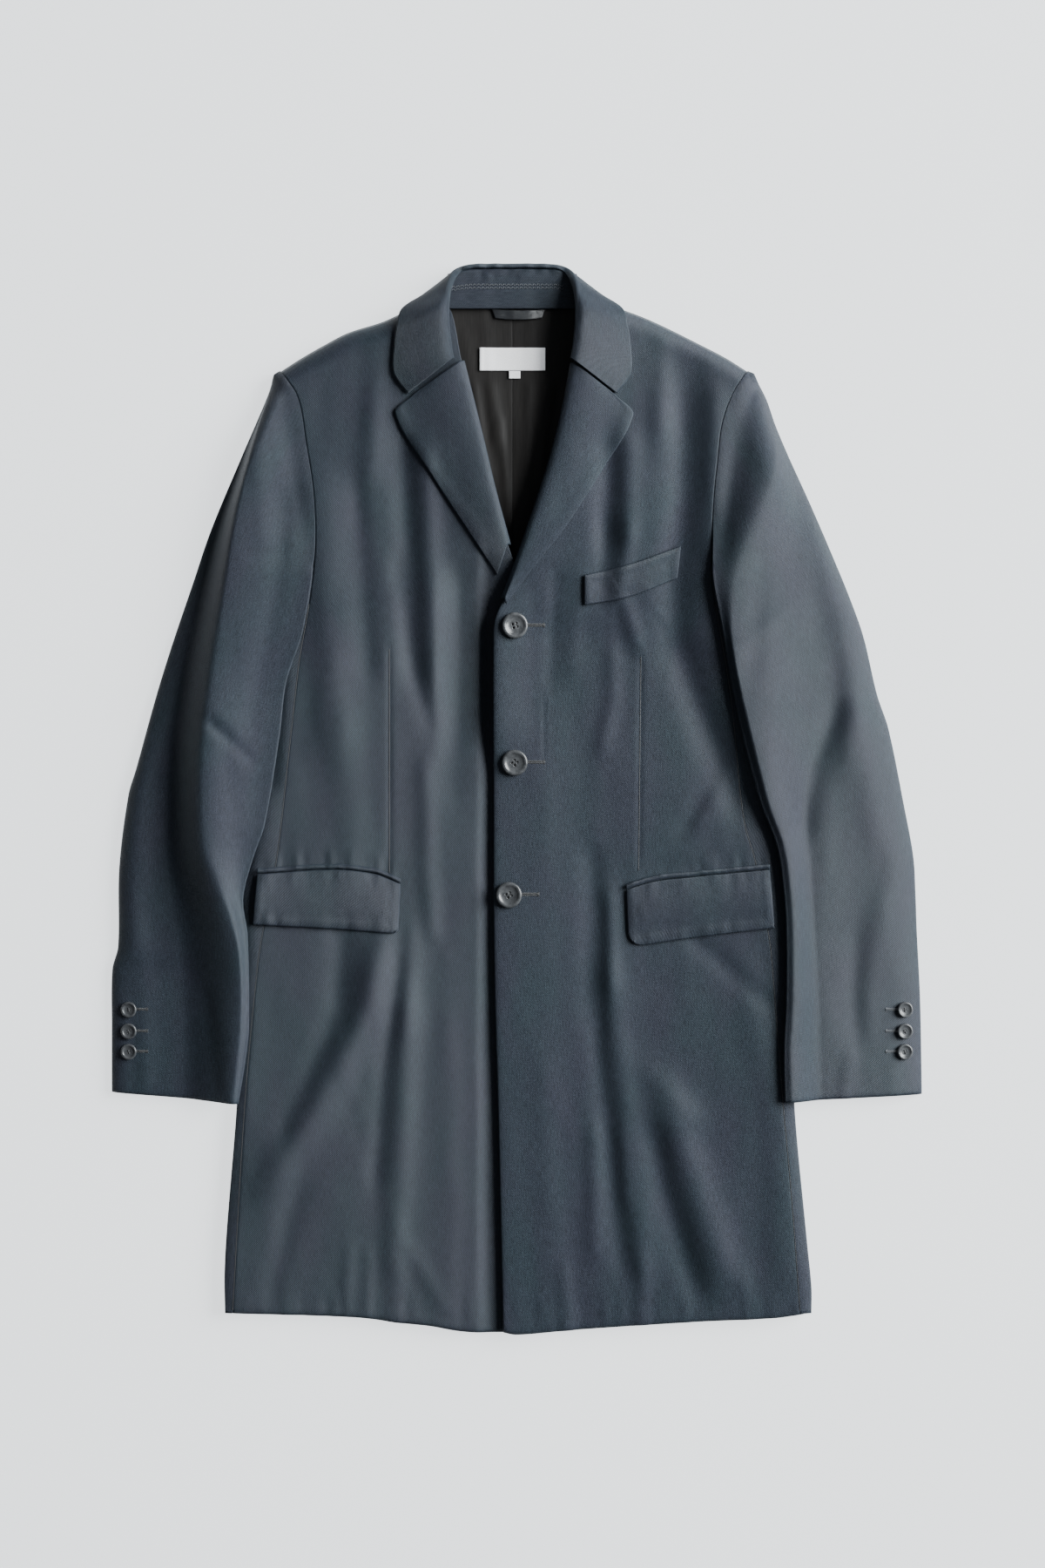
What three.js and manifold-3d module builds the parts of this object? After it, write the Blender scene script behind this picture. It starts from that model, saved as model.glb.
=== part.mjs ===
// A single-breasted chesterfield coat with three buttons, laid flat on its back, its sleeves at its sides.
// Millimetres, +Z up from the surface that it lies on, +Y towards the collar, +X to the wearer's left.
// Each piece that a tailor cuts is a closed wall of cloth, made from a grid of points on its outer face.
import * as THREE from "three";
import Module from "manifold-3d";
import { mergeVertices } from "three/addons/utils/BufferGeometryUtils.js";

const wasm = await Module();
wasm.setup();

// Cloth and seams
const CLOTH = 1.8; // wool gabardine with its interlining
const LINING = 1.0;
const RIBBON = 0.6; // woven label and size tab
const SEAM = 0.4; // space between pieces that are sewn edge to edge
const LAY = 0.6; // space between a piece and what it lies on
const BUTTON_GAP = 0.7; // a button's thread shank

// Heights of the laid coat above the surface
const WAIST_LOFT = 14;
const CHEST_LOFT = 6; // more than at the waist
const ROLL_LOFT = 6; // more along the lapels' roll lines
const SIDE_ROUND = 17; // how far in from its side edge the body rounds over
const SIDE_START = 3; // how much of that rounding is over at the edge
const SIDE_FOOT = 7; // height of the top cloth where it turns down at the side edge
const SHOULDER_ROUND = 20; // how far down from the shoulder seam it rounds over
const SHOULDER_FOOT = 4.4; // height of the top cloth at the shoulder seam
const WRAP_DROP = 3.2; // the wearer's right front passes this far below the left front
const SIDE_LIP = 60; // how far the side body reaches under the coat

const HEM_Y = -470;
const UNDERARM_Y = 190;
const NECK_SEAM_Y = 432;
const NECK_X = -4; // middle of the collar, which lies a little to one side

// Edges, as points of [x, y] from the collar down to the hem
const LEFT_FRONT_EDGE = [
  [62, 441], [53, 424], [50, 382], [41, 336], [29, 290], [7, 224], [-11, 175], [-18, 160],
  [-20.5, 145], [-20.5, 12], [-20, -142], [-16, -296], [-12, -469],
];
const RIGHT_FRONT_EDGE = [
  [-68, 441], [-57, 424], [-49, 385], [-33, 320], [-21, 270], [-8, 222], [6, 185], [15, 155],
  [17, 120], [17, -142], [19, -300], [21, -468],
];
const LEFT_SIDE_SEAM = [
  [203, 376], [190, 356], [180, 329], [176, 299], [172, 259], [171, 220], [171, 193], [176, 160],
  [188, 89], [200, -21], [210, -57], [221, -118], [224, -142], [234, -270], [241, -347], [249, -454],
];
const RIGHT_SIDE_SEAM = [
  [-208, 376], [-192, 352], [-184, 309], [-178, 270], [-176, 230], [-178, 200], [-183, 165],
  [-191, 120], [-200, 43], [-211, -53], [-223, -116], [-228, -149], [-239, -268], [-250, -453],
];
const LEFT_BODY_EDGE = [
  [193, 200], [208, 89], [226, -21], [235.5, -60], [240, -118], [241.5, -160], [245, -270], [256, -389],
  [260, -430], [260, -454],
];
const RIGHT_BODY_EDGE = [
  [-197, 200], [-211, 110], [-219, 43], [-234, -53], [-243, -85], [-241.5, -116], [-241.5, -160],
  [-247, -268], [-256, -380], [-258, -420], [-257.5, -453],
];
const LEFT_SHOULDER = [
  [62, 441], [92, 431], [111, 424], [131, 415], [159, 401], [184, 388], [203, 376],
];
const RIGHT_SHOULDER = [
  [-68, 441], [-94, 431], [-118, 420], [-149, 410], [-172, 398], [-191, 387], [-208, 376],
];
const LEFT_HEM = [
  [-12, -469], [0, -471], [41, -468], [99, -464], [165, -460], [227, -457], [249, -454],
];
const RIGHT_HEM = [
  [21, -468], [-13, -470], [-47, -469], [-76, -464], [-105, -461], [-134, -457], [-174, -455], [-250, -453],
];
const LEFT_SLEEVE_INNER = [
  [203.5, 376], [190.5, 356], [180.5, 329], [176.5, 299], [172.5, 259], [171.5, 220], [171.5, 193],
  [180, 148], [190, 91], [200, 46], [214, -5], [228, -42], [234, -82], [236, -116], [236, -178],
  [234, -222], [235, -267],
];
const LEFT_SLEEVE_OUTER = [
  [209, 373], [220, 352], [228, 329], [239, 303], [259, 259], [278, 215], [294, 176], [306, 142], [318, 91],
  [328, 61], [342, -8], [350, -52], [352, -87], [353, -116], [356, -178], [357.5, -261],
];
const RIGHT_SLEEVE_INNER = [
  [-208.5, 376], [-192.5, 352], [-184.5, 309], [-178.5, 270], [-176.5, 230], [-178.5, 200],
  [-188, 144], [-202, 102], [-208, 55], [-221, -23], [-231, -52], [-240, -88], [-236, -121],
  [-235, -202], [-238, -230], [-244, -268],
];
const RIGHT_SLEEVE_OUTER = [
  [-214, 372], [-221, 352], [-242, 303], [-270, 236], [-286, 189], [-304, 136], [-318, 91], [-336, 26],
  [-343, 2], [-351, -62], [-352, -131], [-357, -151], [-357.5, -203], [-357.5, -259],
];

// The largest folds of the fronts: soft ridges, or troughs where the height is negative, along [x, y] lines
const FRONT_FOLDS = [
  { line: [[-172, 260], [-160, 60]], width: 18, height: 3 },
  { line: [[-100, 300], [-90, 120]], width: 11, height: -2.5 },
  { line: [[-80, 290], [-72, 110]], width: 11, height: 2.5 },
  { line: [[-122, 385], [-128, 290]], width: 11, height: 2 },
  { line: [[-125, -158], [-130, -185], [-160, -245], [-205, -320]], width: 18, height: 4.5 },
  { line: [[-96, -190], [-98, -230], [-102, -300], [-108, -400]], width: 12, height: 2.5 },
  { line: [[148, 380], [146, 260], [139, 200], [140, 140], [160, 80], [190, 10]], width: 15, height: -5 },
  { line: [[80, 300], [79, 235]], width: 11, height: -3 },
  { line: [[98, 300], [98, 240]], width: 11, height: 2.5 },
  { line: [[82, -160], [85, -200], [98, -290], [110, -400]], width: 12, height: 3 },
  { line: [[66, -60], [66, -170], [80, -290], [92, -400]], width: 10, height: -2 },
  { line: [[140, -290], [162, -360], [176, -400]], width: 18, height: 5 },
  { line: [[124, -310], [130, -345], [155, -425]], width: 11, height: -2.5 },
];

const clamp01 = (t) => Math.min(1, Math.max(0, t));
const mix = (a, b, t) => a + (b - a) * t;
const smooth = (from, to, value) => {
  const t = clamp01((value - from) / (to - from));
  return t * t * (3 - 2 * t);
};
const roundOver = (t) => Math.sqrt(1 - (1 - clamp01(t)) ** 2);

// Value at `key` of a smooth line through [value, key] points, the keys in falling or rising order.
function through(points, key) {
  const rising = points[0][1] < points[points.length - 1][1];
  const p = rising ? points : [...points].reverse();
  const last = p.length - 1;
  if (key <= p[0][1]) return p[0][0];
  if (key >= p[last][1]) return p[last][0];
  const i = p.findIndex((point, k) => k < last && key <= p[k + 1][1]);
  const slope = (k) => {
    const a = p[Math.max(0, k - 1)];
    const b = p[Math.min(last, k + 1)];
    return (b[0] - a[0]) / (b[1] - a[1]);
  };
  const span = p[i + 1][1] - p[i][1];
  const t = (key - p[i][1]) / span;
  const [t2, t3] = [t * t, t * t * t];
  return (
    (2 * t3 - 3 * t2 + 1) * p[i][0] + (t3 - 2 * t2 + t) * span * slope(i) +
    (3 * t2 - 2 * t3) * p[i + 1][0] + (t3 - t2) * span * slope(i + 1)
  );
}
const yAt = (points, x) => through(points.map(([px, py]) => [py, px]), x);

// How far a point is from a piece of a line, in fold widths: it counts half beyond the ends.
function offLine([x0, y0], [x1, y1], width, x, y) {
  const [dx, dy] = [x1 - x0, y1 - y0];
  const length = Math.hypot(dx, dy);
  const along = ((x - x0) * dx + (y - y0) * dy) / length;
  const across = ((x - x0) * dy - (y - y0) * dx) / length;
  const past = Math.max(0, -along, along - length);
  return Math.hypot(across, past / 2) / width;
}

function foldHeight(folds, x, y) {
  return folds.reduce((sum, { line, width, height }) => {
    const off = Math.min(...line.slice(1).map((end, k) => offLine(line[k], end, width, x, y)));
    return sum + height * Math.exp(-(off ** 2));
  }, 0);
}

// Outer face of the buttoned fronts and side bodies, before the wearer's right front dips under the left.
function bodyTop(x, y) {
  const left = x > 0;
  const rollX = through(left ? LEFT_FRONT_EDGE : RIGHT_FRONT_EDGE, Math.max(y, UNDERARM_Y));
  const atRoll = Math.exp(-(((x - rollX) / 42) ** 2)) * smooth(150, 260, y);
  const quiet = 1 - 0.75 * smooth(330, 400, y);
  const pocket = smooth(30, 0, Math.abs(y + 95)) * smooth(70, 110, Math.abs(x));
  let z = WAIST_LOFT + CHEST_LOFT * smooth(60, 260, y) + ROLL_LOFT * atRoll;
  z += foldHeight(FRONT_FOLDS, x, y) * quiet * (1 - 0.7 * pocket);
  const edge = Math.abs(through(left ? LEFT_BODY_EDGE : RIGHT_BODY_EDGE, y));
  const turn = roundOver((edge - Math.abs(x) + SIDE_START) / SIDE_ROUND);
  z = mix(SIDE_FOOT, z, mix(1, turn, smooth(UNDERARM_Y + 40, UNDERARM_Y, y)));
  const shoulderY = yAt(left ? LEFT_SHOULDER : RIGHT_SHOULDER, x);
  return mix(SHOULDER_FOOT, z, roundOver((shoulderY - y) / SHOULDER_ROUND));
}
const leftFrontTop = (x, y) => bodyTop(x, y) + 1.5 * smooth(60, 20, x) * smooth(240, 160, y);
const rightFrontTop = (x, y) => bodyTop(x, y) - WRAP_DROP * smooth(-75, -20, x) * smooth(240, 190, y);

// Positive where the triangles face out.
function signedVolume(vertices, index) {
  const cross = new THREE.Vector3();
  let sum = 0;
  for (let k = 0; k < index.length; k += 3)
    sum += cross.crossVectors(vertices[index[k]], vertices[index[k + 1]]).dot(vertices[index[k + 2]]);
  return sum / 6;
}

// A closed wall of cloth: `rows` of points on its outer face, and a second layer `thickness` behind them.
function wall(name, rows, thickness, finish) {
  const [n, m] = [rows.length, rows[0].length];
  const at = (i, j) => rows[Math.min(n - 1, Math.max(0, i))][Math.min(m - 1, Math.max(0, j))];
  const vertices = [];
  const behind = [];
  rows.forEach((row, i) =>
    row.forEach((point, j) => {
      const along = new THREE.Vector3().subVectors(at(i + 1, j), at(i - 1, j));
      const across = new THREE.Vector3().subVectors(at(i, j + 1), at(i, j - 1));
      const normal = across.cross(along).normalize();
      vertices.push(point);
      behind.push(point.clone().addScaledVector(normal, thickness));
    }),
  );
  vertices.push(...behind);
  const index = [];
  const quad = (a, b, c, d) => index.push(a, b, c, a, c, d);
  const id = (i, j, layer) => layer * n * m + i * m + j;
  for (let i = 0; i < n - 1; i++)
    for (let j = 0; j < m - 1; j++) {
      quad(id(i, j, 0), id(i + 1, j, 0), id(i + 1, j + 1, 0), id(i, j + 1, 0));
      quad(id(i, j, 1), id(i, j + 1, 1), id(i + 1, j + 1, 1), id(i + 1, j, 1));
    }
  for (let i = 0; i < n - 1; i++) {
    quad(id(i, 0, 0), id(i, 0, 1), id(i + 1, 0, 1), id(i + 1, 0, 0));
    quad(id(i, m - 1, 0), id(i + 1, m - 1, 0), id(i + 1, m - 1, 1), id(i, m - 1, 1));
  }
  for (let j = 0; j < m - 1; j++) {
    quad(id(0, j, 0), id(0, j + 1, 0), id(0, j + 1, 1), id(0, j, 1));
    quad(id(n - 1, j, 0), id(n - 1, j, 1), id(n - 1, j + 1, 1), id(n - 1, j + 1, 0));
  }
  if (signedVolume(vertices, index) < 0) index.reverse();
  const geometry = new THREE.BufferGeometry().setFromPoints(vertices).setIndex(index);
  return piece(name, geometry, finish);
}

const WOOL = { color: 0x262b33, roughness: 0.92, metalness: 0 };
const LINING_FINISH = { color: 0x1b1817, roughness: 0.7, metalness: 0 };
const HORN = { color: 0x2c2c2e, roughness: 0.4, metalness: 0 };
const WHITE_RIBBON = { color: 0xe8e6e6, roughness: 0.8, metalness: 0 };

function piece(name, geometry, finish = WOOL) {
  geometry.computeVertexNormals();
  const mesh = new THREE.Mesh(geometry, new THREE.MeshStandardMaterial(finish));
  mesh.name = name;
  return mesh;
}

const steps = (count) => Array.from({ length: count + 1 }, (unused, k) => k / count);
const point = (x, y, z) => new THREE.Vector3(x, y, z);

// One front: rows run from its front edge to its armhole and side seam.
function front(name, frontEdge, sideSeam, shoulder, hem, top) {
  const fromShoulder = [0, 0.003, 0.009, 0.018, 0.03];
  const rows = [...fromShoulder, ...steps(24).map((t) => mix(0.05, 1, t))];
  const columns = steps(11);
  const [frontTop, sideTop] = [frontEdge[0][1], sideSeam[0][1]];
  const [frontHem, sideHem] = [frontEdge.at(-1)[1], sideSeam.at(-1)[1]];
  const sign = Math.sign(sideSeam[0][0]);
  const bow = (line, from, to, u) => yAt(line, mix(from[0], to[0], u)) - mix(from[1], to[1], u);
  return wall(
    name,
    rows.map((v) =>
      columns.map((u) => {
        const [yf, ys] = [mix(frontTop, frontHem, v), mix(sideTop, sideHem, v)];
        const x = mix(through(frontEdge, yf), through(sideSeam, ys) - sign * SEAM, u);
        const shoulderBow = bow(shoulder, frontEdge[0], sideSeam[0], u) * smooth(0.12, 0, v);
        const hemBow = bow(hem, frontEdge.at(-1), sideSeam.at(-1), u) * smooth(0.85, 1, v);
        const y = mix(yf, ys, u) + shoulderBow + hemBow;
        return point(x, y, top(x, y));
      }),
    ),
    CLOTH * sign,
  );
}

// One side body: it rounds over the coat's edge and lies flat underneath as far as the back.
function sideBody(name, sideSeam, bodyEdge) {
  const sign = Math.sign(sideSeam[0][0]);
  const rows = steps(18).map((v) => mix(UNDERARM_Y - 9, -453, v));
  return wall(
    name,
    rows.map((y) => {
      const [seam, edge] = [through(sideSeam, y), through(bodyEdge, y)];
      const rise = (t) => mix(seam + sign * SEAM, edge - sign * 0.8, t);
      const over = steps(3).map((t) => point(rise(t), y, bodyTop(rise(t), y)));
      const under = [[0.2, 4], [0.8, 1.6], [3, 0.2], [6, 0], [28, 0], [SIDE_LIP, 0]];
      return [...over, ...under.map(([inward, z]) => point(edge - sign * inward, y, z))];
    }),
    CLOTH * sign,
  );
}

// One half of the back, flat on the surface from the centre seam to the armhole and the side body's lip.
function back(name, sideSeam, bodyEdge, shoulder) {
  const sign = Math.sign(sideSeam[0][0]);
  const armhole = steps(8).map((t) => mix(shoulder.at(-1)[1] - 2, UNDERARM_Y, t));
  const skirt = steps(18).map((t) => mix(UNDERARM_Y - 9, -452, t));
  const outer = [
    ...armhole.map((y) => [through(sideSeam, y) - sign * SEAM, y]),
    ...skirt.map((y) => [through(bodyEdge, y) - sign * (SIDE_LIP + 2 * SEAM), y]),
  ];
  const [innerTop, innerFoot] = [NECK_SEAM_Y, HEM_Y + 4];
  return wall(
    name,
    outer.map(([x, y], i) => {
      const share = (outer[0][1] - y) / (outer[0][1] - outer.at(-1)[1]);
      return steps(6).map((u) => {
        const px = mix(sign * SEAM, x, u);
        const flat = mix(mix(innerTop, innerFoot, share), y, u);
        const crown = i === 0 && u > 0.3 ? yAt(shoulder, px) - 3 - mix(innerTop, y, u) : 0;
        return point(px, flat + crown, CLOTH);
      });
    }),
    CLOTH * sign,
  );
}

// What the sleeves lie on: the surface, rising steeply over the body's side below the armhole.
function underSleeve(x, y, left) {
  const beyond = Math.abs(x) - Math.abs(through(left ? LEFT_BODY_EDGE : RIGHT_BODY_EDGE, y));
  const climbed = smooth(18, 3, beyond) * smooth(UNDERARM_Y + 32, UNDERARM_Y + 6, y);
  return climbed * (WAIST_LOFT + 3.5 + 4.5 * smooth(60, 200, y));
}

// Each sleeve's top rises from its inner edge to a crest, and falls from there to a foot, beyond which it is
// low. Crest and foot are points of [x, y], and their heights are points of [z, y].
const LEFT_SLEEVE = {
  inner: LEFT_SLEEVE_INNER,
  outer: LEFT_SLEEVE_OUTER,
  crest: [
    [207, 374], [219, 345], [226, 321], [224, 289], [212, 255], [200, 220], [190, 190], [188, 140],
    [197, 91], [208, 46], [221, -5], [234, -42], [240, -82], [242, -116], [242, -178], [240, -222],
    [241, -267],
  ],
  foot: [
    [212, 370], [232, 345], [246, 300], [258, 250], [270, 200], [280, 160], [286, 120], [284, 90],
    [274, 60], [262, 30], [256, 0], [258, -42], [262, -100], [267, -180], [270, -267],
  ],
  crestHeight: [[17, 374], [24, 340], [29, 300], [32, 240], [31, 190], [28, 60], [25, -60], [24, -267]],
  footHeight: [[10, 374], [13, 330], [16, 200], [15, 100], [16, 50], [15, -60], [13, -160], [12, -267]],
  round: 32,
  folds: [
    { line: [[198, 335], [184, 262]], width: 12, height: -3.5 },
    { line: [[262, 230], [286, 160], [297, 110], [290, 40]], width: 13, height: 2 },
    { line: [[318, -100], [309, -175]], width: 12, height: 1.6 },
  ],
};
const RIGHT_SLEEVE = {
  inner: RIGHT_SLEEVE_INNER,
  outer: RIGHT_SLEEVE_OUTER,
  crest: [
    [-212, 373], [-220, 345], [-228.5, 313], [-244, 243], [-253, 182], [-264, 104], [-271, 46],
    [-273, -3], [-270, -44], [-259, -77], [-249, -106], [-242, -139], [-241, -188], [-248, -267],
  ],
  foot: [
    [-215, 371], [-224, 345], [-238, 313], [-263, 243], [-279, 182], [-297, 104], [-306, 46],
    [-309, -44], [-305, -85], [-299, -126], [-295, -167], [-294, -267],
  ],
  crestHeight: [[16, 374], [25, 340], [30, 300], [35, 200], [39, 60], [38, -60], [31, -160], [26, -267]],
  footHeight: [[7, 374], [7, 240], [10, 160], [12, 60], [13, -60], [11, -160], [11, -267]],
  round: 16,
  folds: [
    { line: [[-202, 250], [-208, 180], [-229, 70]], width: 9, height: -3 },
    { line: [[-330, 60], [-336, -120]], width: 12, height: 1.5 },
  ],
};
const FOLD_ROUND = 7; // how far in from its inner edge, which is a fold, a sleeve rounds over
const EASE_WIDTH = 20; // the little fullness beside the armhole seam
const OVER_BODY = WAIST_LOFT + 8.5; // height of the inner fold where it lies on the body
const CAP_ROUND = 32; // how far down from its top a sleeve rounds over

// Outer face of a sleeve's top: sewn level with the body at the armhole, and lying over its side below.
function sleeveTop(left) {
  const sleeve = left ? LEFT_SLEEVE : RIGHT_SLEEVE;
  const { inner, outer, crest, foot, crestHeight, footHeight, folds } = sleeve;
  const layers = CLOTH + LAY + CLOTH;
  return (x, y) => {
    const out = Math.abs(x);
    const across = (line) => Math.abs(through(line, y));
    const [innerX, crestX, footX, outerX] = [inner, crest, foot, outer].map(across);
    const lowest = underSleeve(x, y, left) + layers;
    const falling = smooth(0, 1, (out - crestX) / Math.max(1, footX - crestX));
    const rising = smooth(0, 1, (crestX - out) / Math.max(1, crestX - innerX));
    const sewn = smooth(UNDERARM_Y + 4, UNDERARM_Y + 80, y);
    const seamHeight = bodyTop(x - Math.sign(x) * 2, y);
    const innerHeight = mix(OVER_BODY + 4 * smooth(60, 200, y), seamHeight, sewn);
    let z = mix(through(crestHeight, y), through(footHeight, y), falling) + foldHeight(folds, x, y);
    z = mix(z, innerHeight, rising);
    z = mix(layers, z, roundOver((outerX - out) / sleeve.round));
    z = mix(SHOULDER_FOOT, z, roundOver((outer[0][1] + 4 - y) / CAP_ROUND));
    const rounded = mix(lowest, z, roundOver((out - innerX) / FOLD_ROUND));
    z = mix(rounded, z, smooth(UNDERARM_Y, UNDERARM_Y + 20, y));
    const ease = 0.8 * Math.sin(Math.PI * clamp01((out - innerX) / EASE_WIDTH));
    z = mix(z, seamHeight + ease, sewn * smooth(EASE_WIDTH, 0, out - innerX));
    return Math.max(lowest, z);
  };
}

function sleeveRows(inner, outer, rows, columns, height) {
  return rows.map((v) => {
    const yi = mix(inner[0][1], inner.at(-1)[1], v);
    const yo = mix(outer[0][1], outer.at(-1)[1], v);
    const [xi, xo] = [through(inner, yi), through(outer, yo)];
    return columns.map((u) => {
      const [x, y] = [mix(xo, xi, u), mix(yo, yi, u)];
      return point(x, y, height(x, y));
    });
  });
}

function sleeve(name, left) {
  const { inner, outer } = left ? LEFT_SLEEVE : RIGHT_SLEEVE;
  const rows = [0, 0.01, 0.025, 0.045, ...steps(20).map((t) => mix(0.07, 1, t))];
  const across = [0, 0.02, 0.07, 0.15, 0.25, 0.37, 0.5, 0.62, 0.74, 0.85, 0.93, 0.98, 1];
  const sign = left ? 1 : -1;
  const top = wall(name + "_top", sleeveRows(inner, outer, rows, across, sleeveTop(left)), -CLOTH * sign);
  const underRows = [0, 0.045, ...rows.slice(4)];
  const underAcross = [0, 0.3, 0.55, 0.68, 0.78, 0.87, 0.94, 1];
  const low = (x, y) => underSleeve(x, y, left);
  const tuckedOuter = outer.map(([x, y]) => [x - sign * LAY, y]);
  const under = wall(
    name + "_under", sleeveRows(inner, tuckedOuter, underRows, underAcross, low), CLOTH * sign);
  return [top, under];
}

// A lapel: from its gorge seam down to the break, turned back along the roll line.
function lapel(name, roll, outer, top, rise) {
  const sign = Math.sign(outer[0][0]);
  return wall(
    name,
    steps(12).map((v) => {
      const [yr, yo] = [mix(roll[0][1], roll.at(-1)[1], v), mix(outer[0][1], outer.at(-1)[1], v)];
      const [xr, xo] = [through(roll, yr), through(outer, yo)];
      const at = (u) => [mix(xr, xo, u), mix(yr, yo, u)];
      const crown = (u) => rise * Math.sin(Math.PI * Math.sqrt(u)) * (1 - v * 0.5);
      const face = [0.06, 0.2, 0.4, 0.6, 0.8, 1].map((u) => {
        const [x, y] = at(u);
        return point(x, y, top(x, y) + LAY + CLOTH + crown(u) + 0.4 * v);
      });
      const z = top(xr, yr);
      return [point(xr - sign * 2.9, yr, z - 1.5), point(xr - sign * 2.4, yr, z + 1.2), ...face];
    }),
    CLOTH * sign,
  );
}

// The collar's leaf, a strip round the neck. `roll` is its fold, `edge` its free edge, and `turn` is the way
// that it turns at the fold. The x values count from the collar's middle. The leaf lies on the fronts at its
// ends, where no height is given, and passes behind the neck under the stand.
const COLLAR_STATIONS = [
  { roll: [52, 383], edge: [91.5, 354], turn: [0, 0, -1], lift: 3.4 },
  { roll: [54, 394], edge: [104, 372], turn: [0, 0, -1], lift: 3.6 },
  { roll: [56, 411], edge: [103.5, 398], turn: [0, 0, -1], lift: 3.8 },
  { roll: [57, 430], edge: [101, 414, 23.5], turn: [-0.2, 0, -0.98], lift: 4.4 },
  { roll: [57, 444, 27], edge: [97, 429, 19], turn: [-0.5, -0.2, -0.84], lift: 0 },
  { roll: [55, 456, 21], edge: [82, 441, 11], turn: [-0.8, -0.4, -0.45], lift: 0 },
  { roll: [50, 465, 13], edge: [66, 450, 4], turn: [-0.7, -0.7, 0.1], lift: 0 },
  { roll: [38, 469.5, 8], edge: [44, 436, 0], turn: [-0.2, -0.7, 0.7], lift: 0 },
  { roll: [19, 470.5, 6.5], edge: [20, 434, 0], turn: [0, -0.7, 0.7], lift: 0 },
  { roll: [0, 470.5, 6.5], edge: [0, 434, 0], turn: [0, -0.7, 0.7], lift: 0 },
];

function collarSection({ roll, edge, turn, lift }, side) {
  const top = side > 0 ? leftFrontTop : rightFrontTop;
  const placed = ([dx, y, z]) => {
    const x = NECK_X + side * dx;
    const shoulderY = yAt(side > 0 ? LEFT_SHOULDER : RIGHT_SHOULDER, x);
    return point(x, y, z ?? top(x, Math.min(y, shoulderY - 6)) + LAY + CLOTH);
  };
  const [r, e] = [placed(roll), placed(edge)];
  r.z += roll[2] === undefined ? lift : 0;
  e.z += edge[2] === undefined ? 0.5 : 0;
  const turned = point(side * turn[0], turn[1], turn[2]);
  const inward = new THREE.Vector3().subVectors(r, e).setZ(0).normalize();
  const behind = edge[2] === 0;
  const start = behind
    ? [point(r.x, r.y - 3.6, r.z + 7), point(r.x, r.y - 0.8, r.z + 4.6)]
    : [
        r.clone().addScaledVector(turned, 5).addScaledVector(inward, 1.2),
        r.clone().addScaledVector(turned, 2).addScaledVector(inward, 1.6),
      ];
  const leaf = [0, 0.12, 0.35, 0.65, 1].map((t) => {
    const p = r.clone().lerp(e, t);
    if (behind) p.z = mix(r.z, 0, smooth(0, 0.2, t));
    else p.z += lift * 0.9 * Math.sin(Math.PI * Math.sqrt(t));
    return p;
  });
  return [...start, ...leaf];
}

const between = (a, b) => a.map((p, j) => p.clone().lerp(b[j], 0.5));

function collar() {
  const half = (side) => COLLAR_STATIONS.map((station) => collarSection(station, side));
  const stations = [...half(1), ...half(-1).reverse().slice(1)];
  const rows = stations.flatMap((row, i) => (i ? [between(stations[i - 1], row), row] : [row]));
  return wall("collar", rows, -CLOTH);
}

// The stand, which shows inside the back of the neck, from the neck seam up to the collar's fold.
function collarStand() {
  const half = 52;
  return wall(
    "collar_stand",
    steps(12).map((t) => {
      const dx = mix(-half, half, t);
      const end = smooth(0.6, 1, Math.abs(dx) / half);
      return steps(5).map((u) => {
        const y = mix(NECK_SEAM_Y + 1.8, 465 - 5 * end, u);
        return point(NECK_X + dx * mix(1, 0.97, u), y, mix(5.2, 10.6, u ** 1.3));
      });
    }),
    -CLOTH,
  );
}

const LINING_TOP = CLOTH + LAY + LINING + 0.3;

// One half of the back's lining where the neck opening shows it, with a little more under the fronts.
function lining(name, side) {
  const [top, foot] = [NECK_SEAM_Y, 205];
  const edge = [[60, 432], [62, 400], [58, 360], [48, 310], [36, 270], [22, 225], [16, 205]];
  return wall(
    name,
    steps(10).map((v) => {
      const y = mix(top, foot, v);
      return steps(3).map((u) => point(NECK_X + side * mix(SEAM, through(edge, y), u), y, LINING_TOP));
    }),
    LINING * side,
    LINING_FINISH,
  );
}

// A flat piece between a top and a bottom line, each from its inner to its outer end, lying on `top`.
// A stiff one stands off by `stiff` more at its outer end, where the cloth under it rounds down.
function patch(name, upper, lower, top, { lift = LAY, thickness, finish = WOOL, count, stiff = 0 }) {
  const along = steps(count[0]);
  const sign = Math.sign(upper.at(-1)[0] - upper[0][0]);
  return wall(
    name,
    steps(count[1]).map((v) =>
      along.map((u) => {
        const [upperX, lowerX] = [upper, lower].map((line) => mix(line[0][0], line.at(-1)[0], u));
        const [x, y] = [mix(upperX, lowerX, v), mix(yAt(upper, upperX), yAt(lower, lowerX), v)];
        return point(x, y, top(x, y) + lift + stiff * smooth(0.7, 1, u) + thickness);
      }),
    ),
    thickness * sign,
    finish,
  );
}

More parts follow.
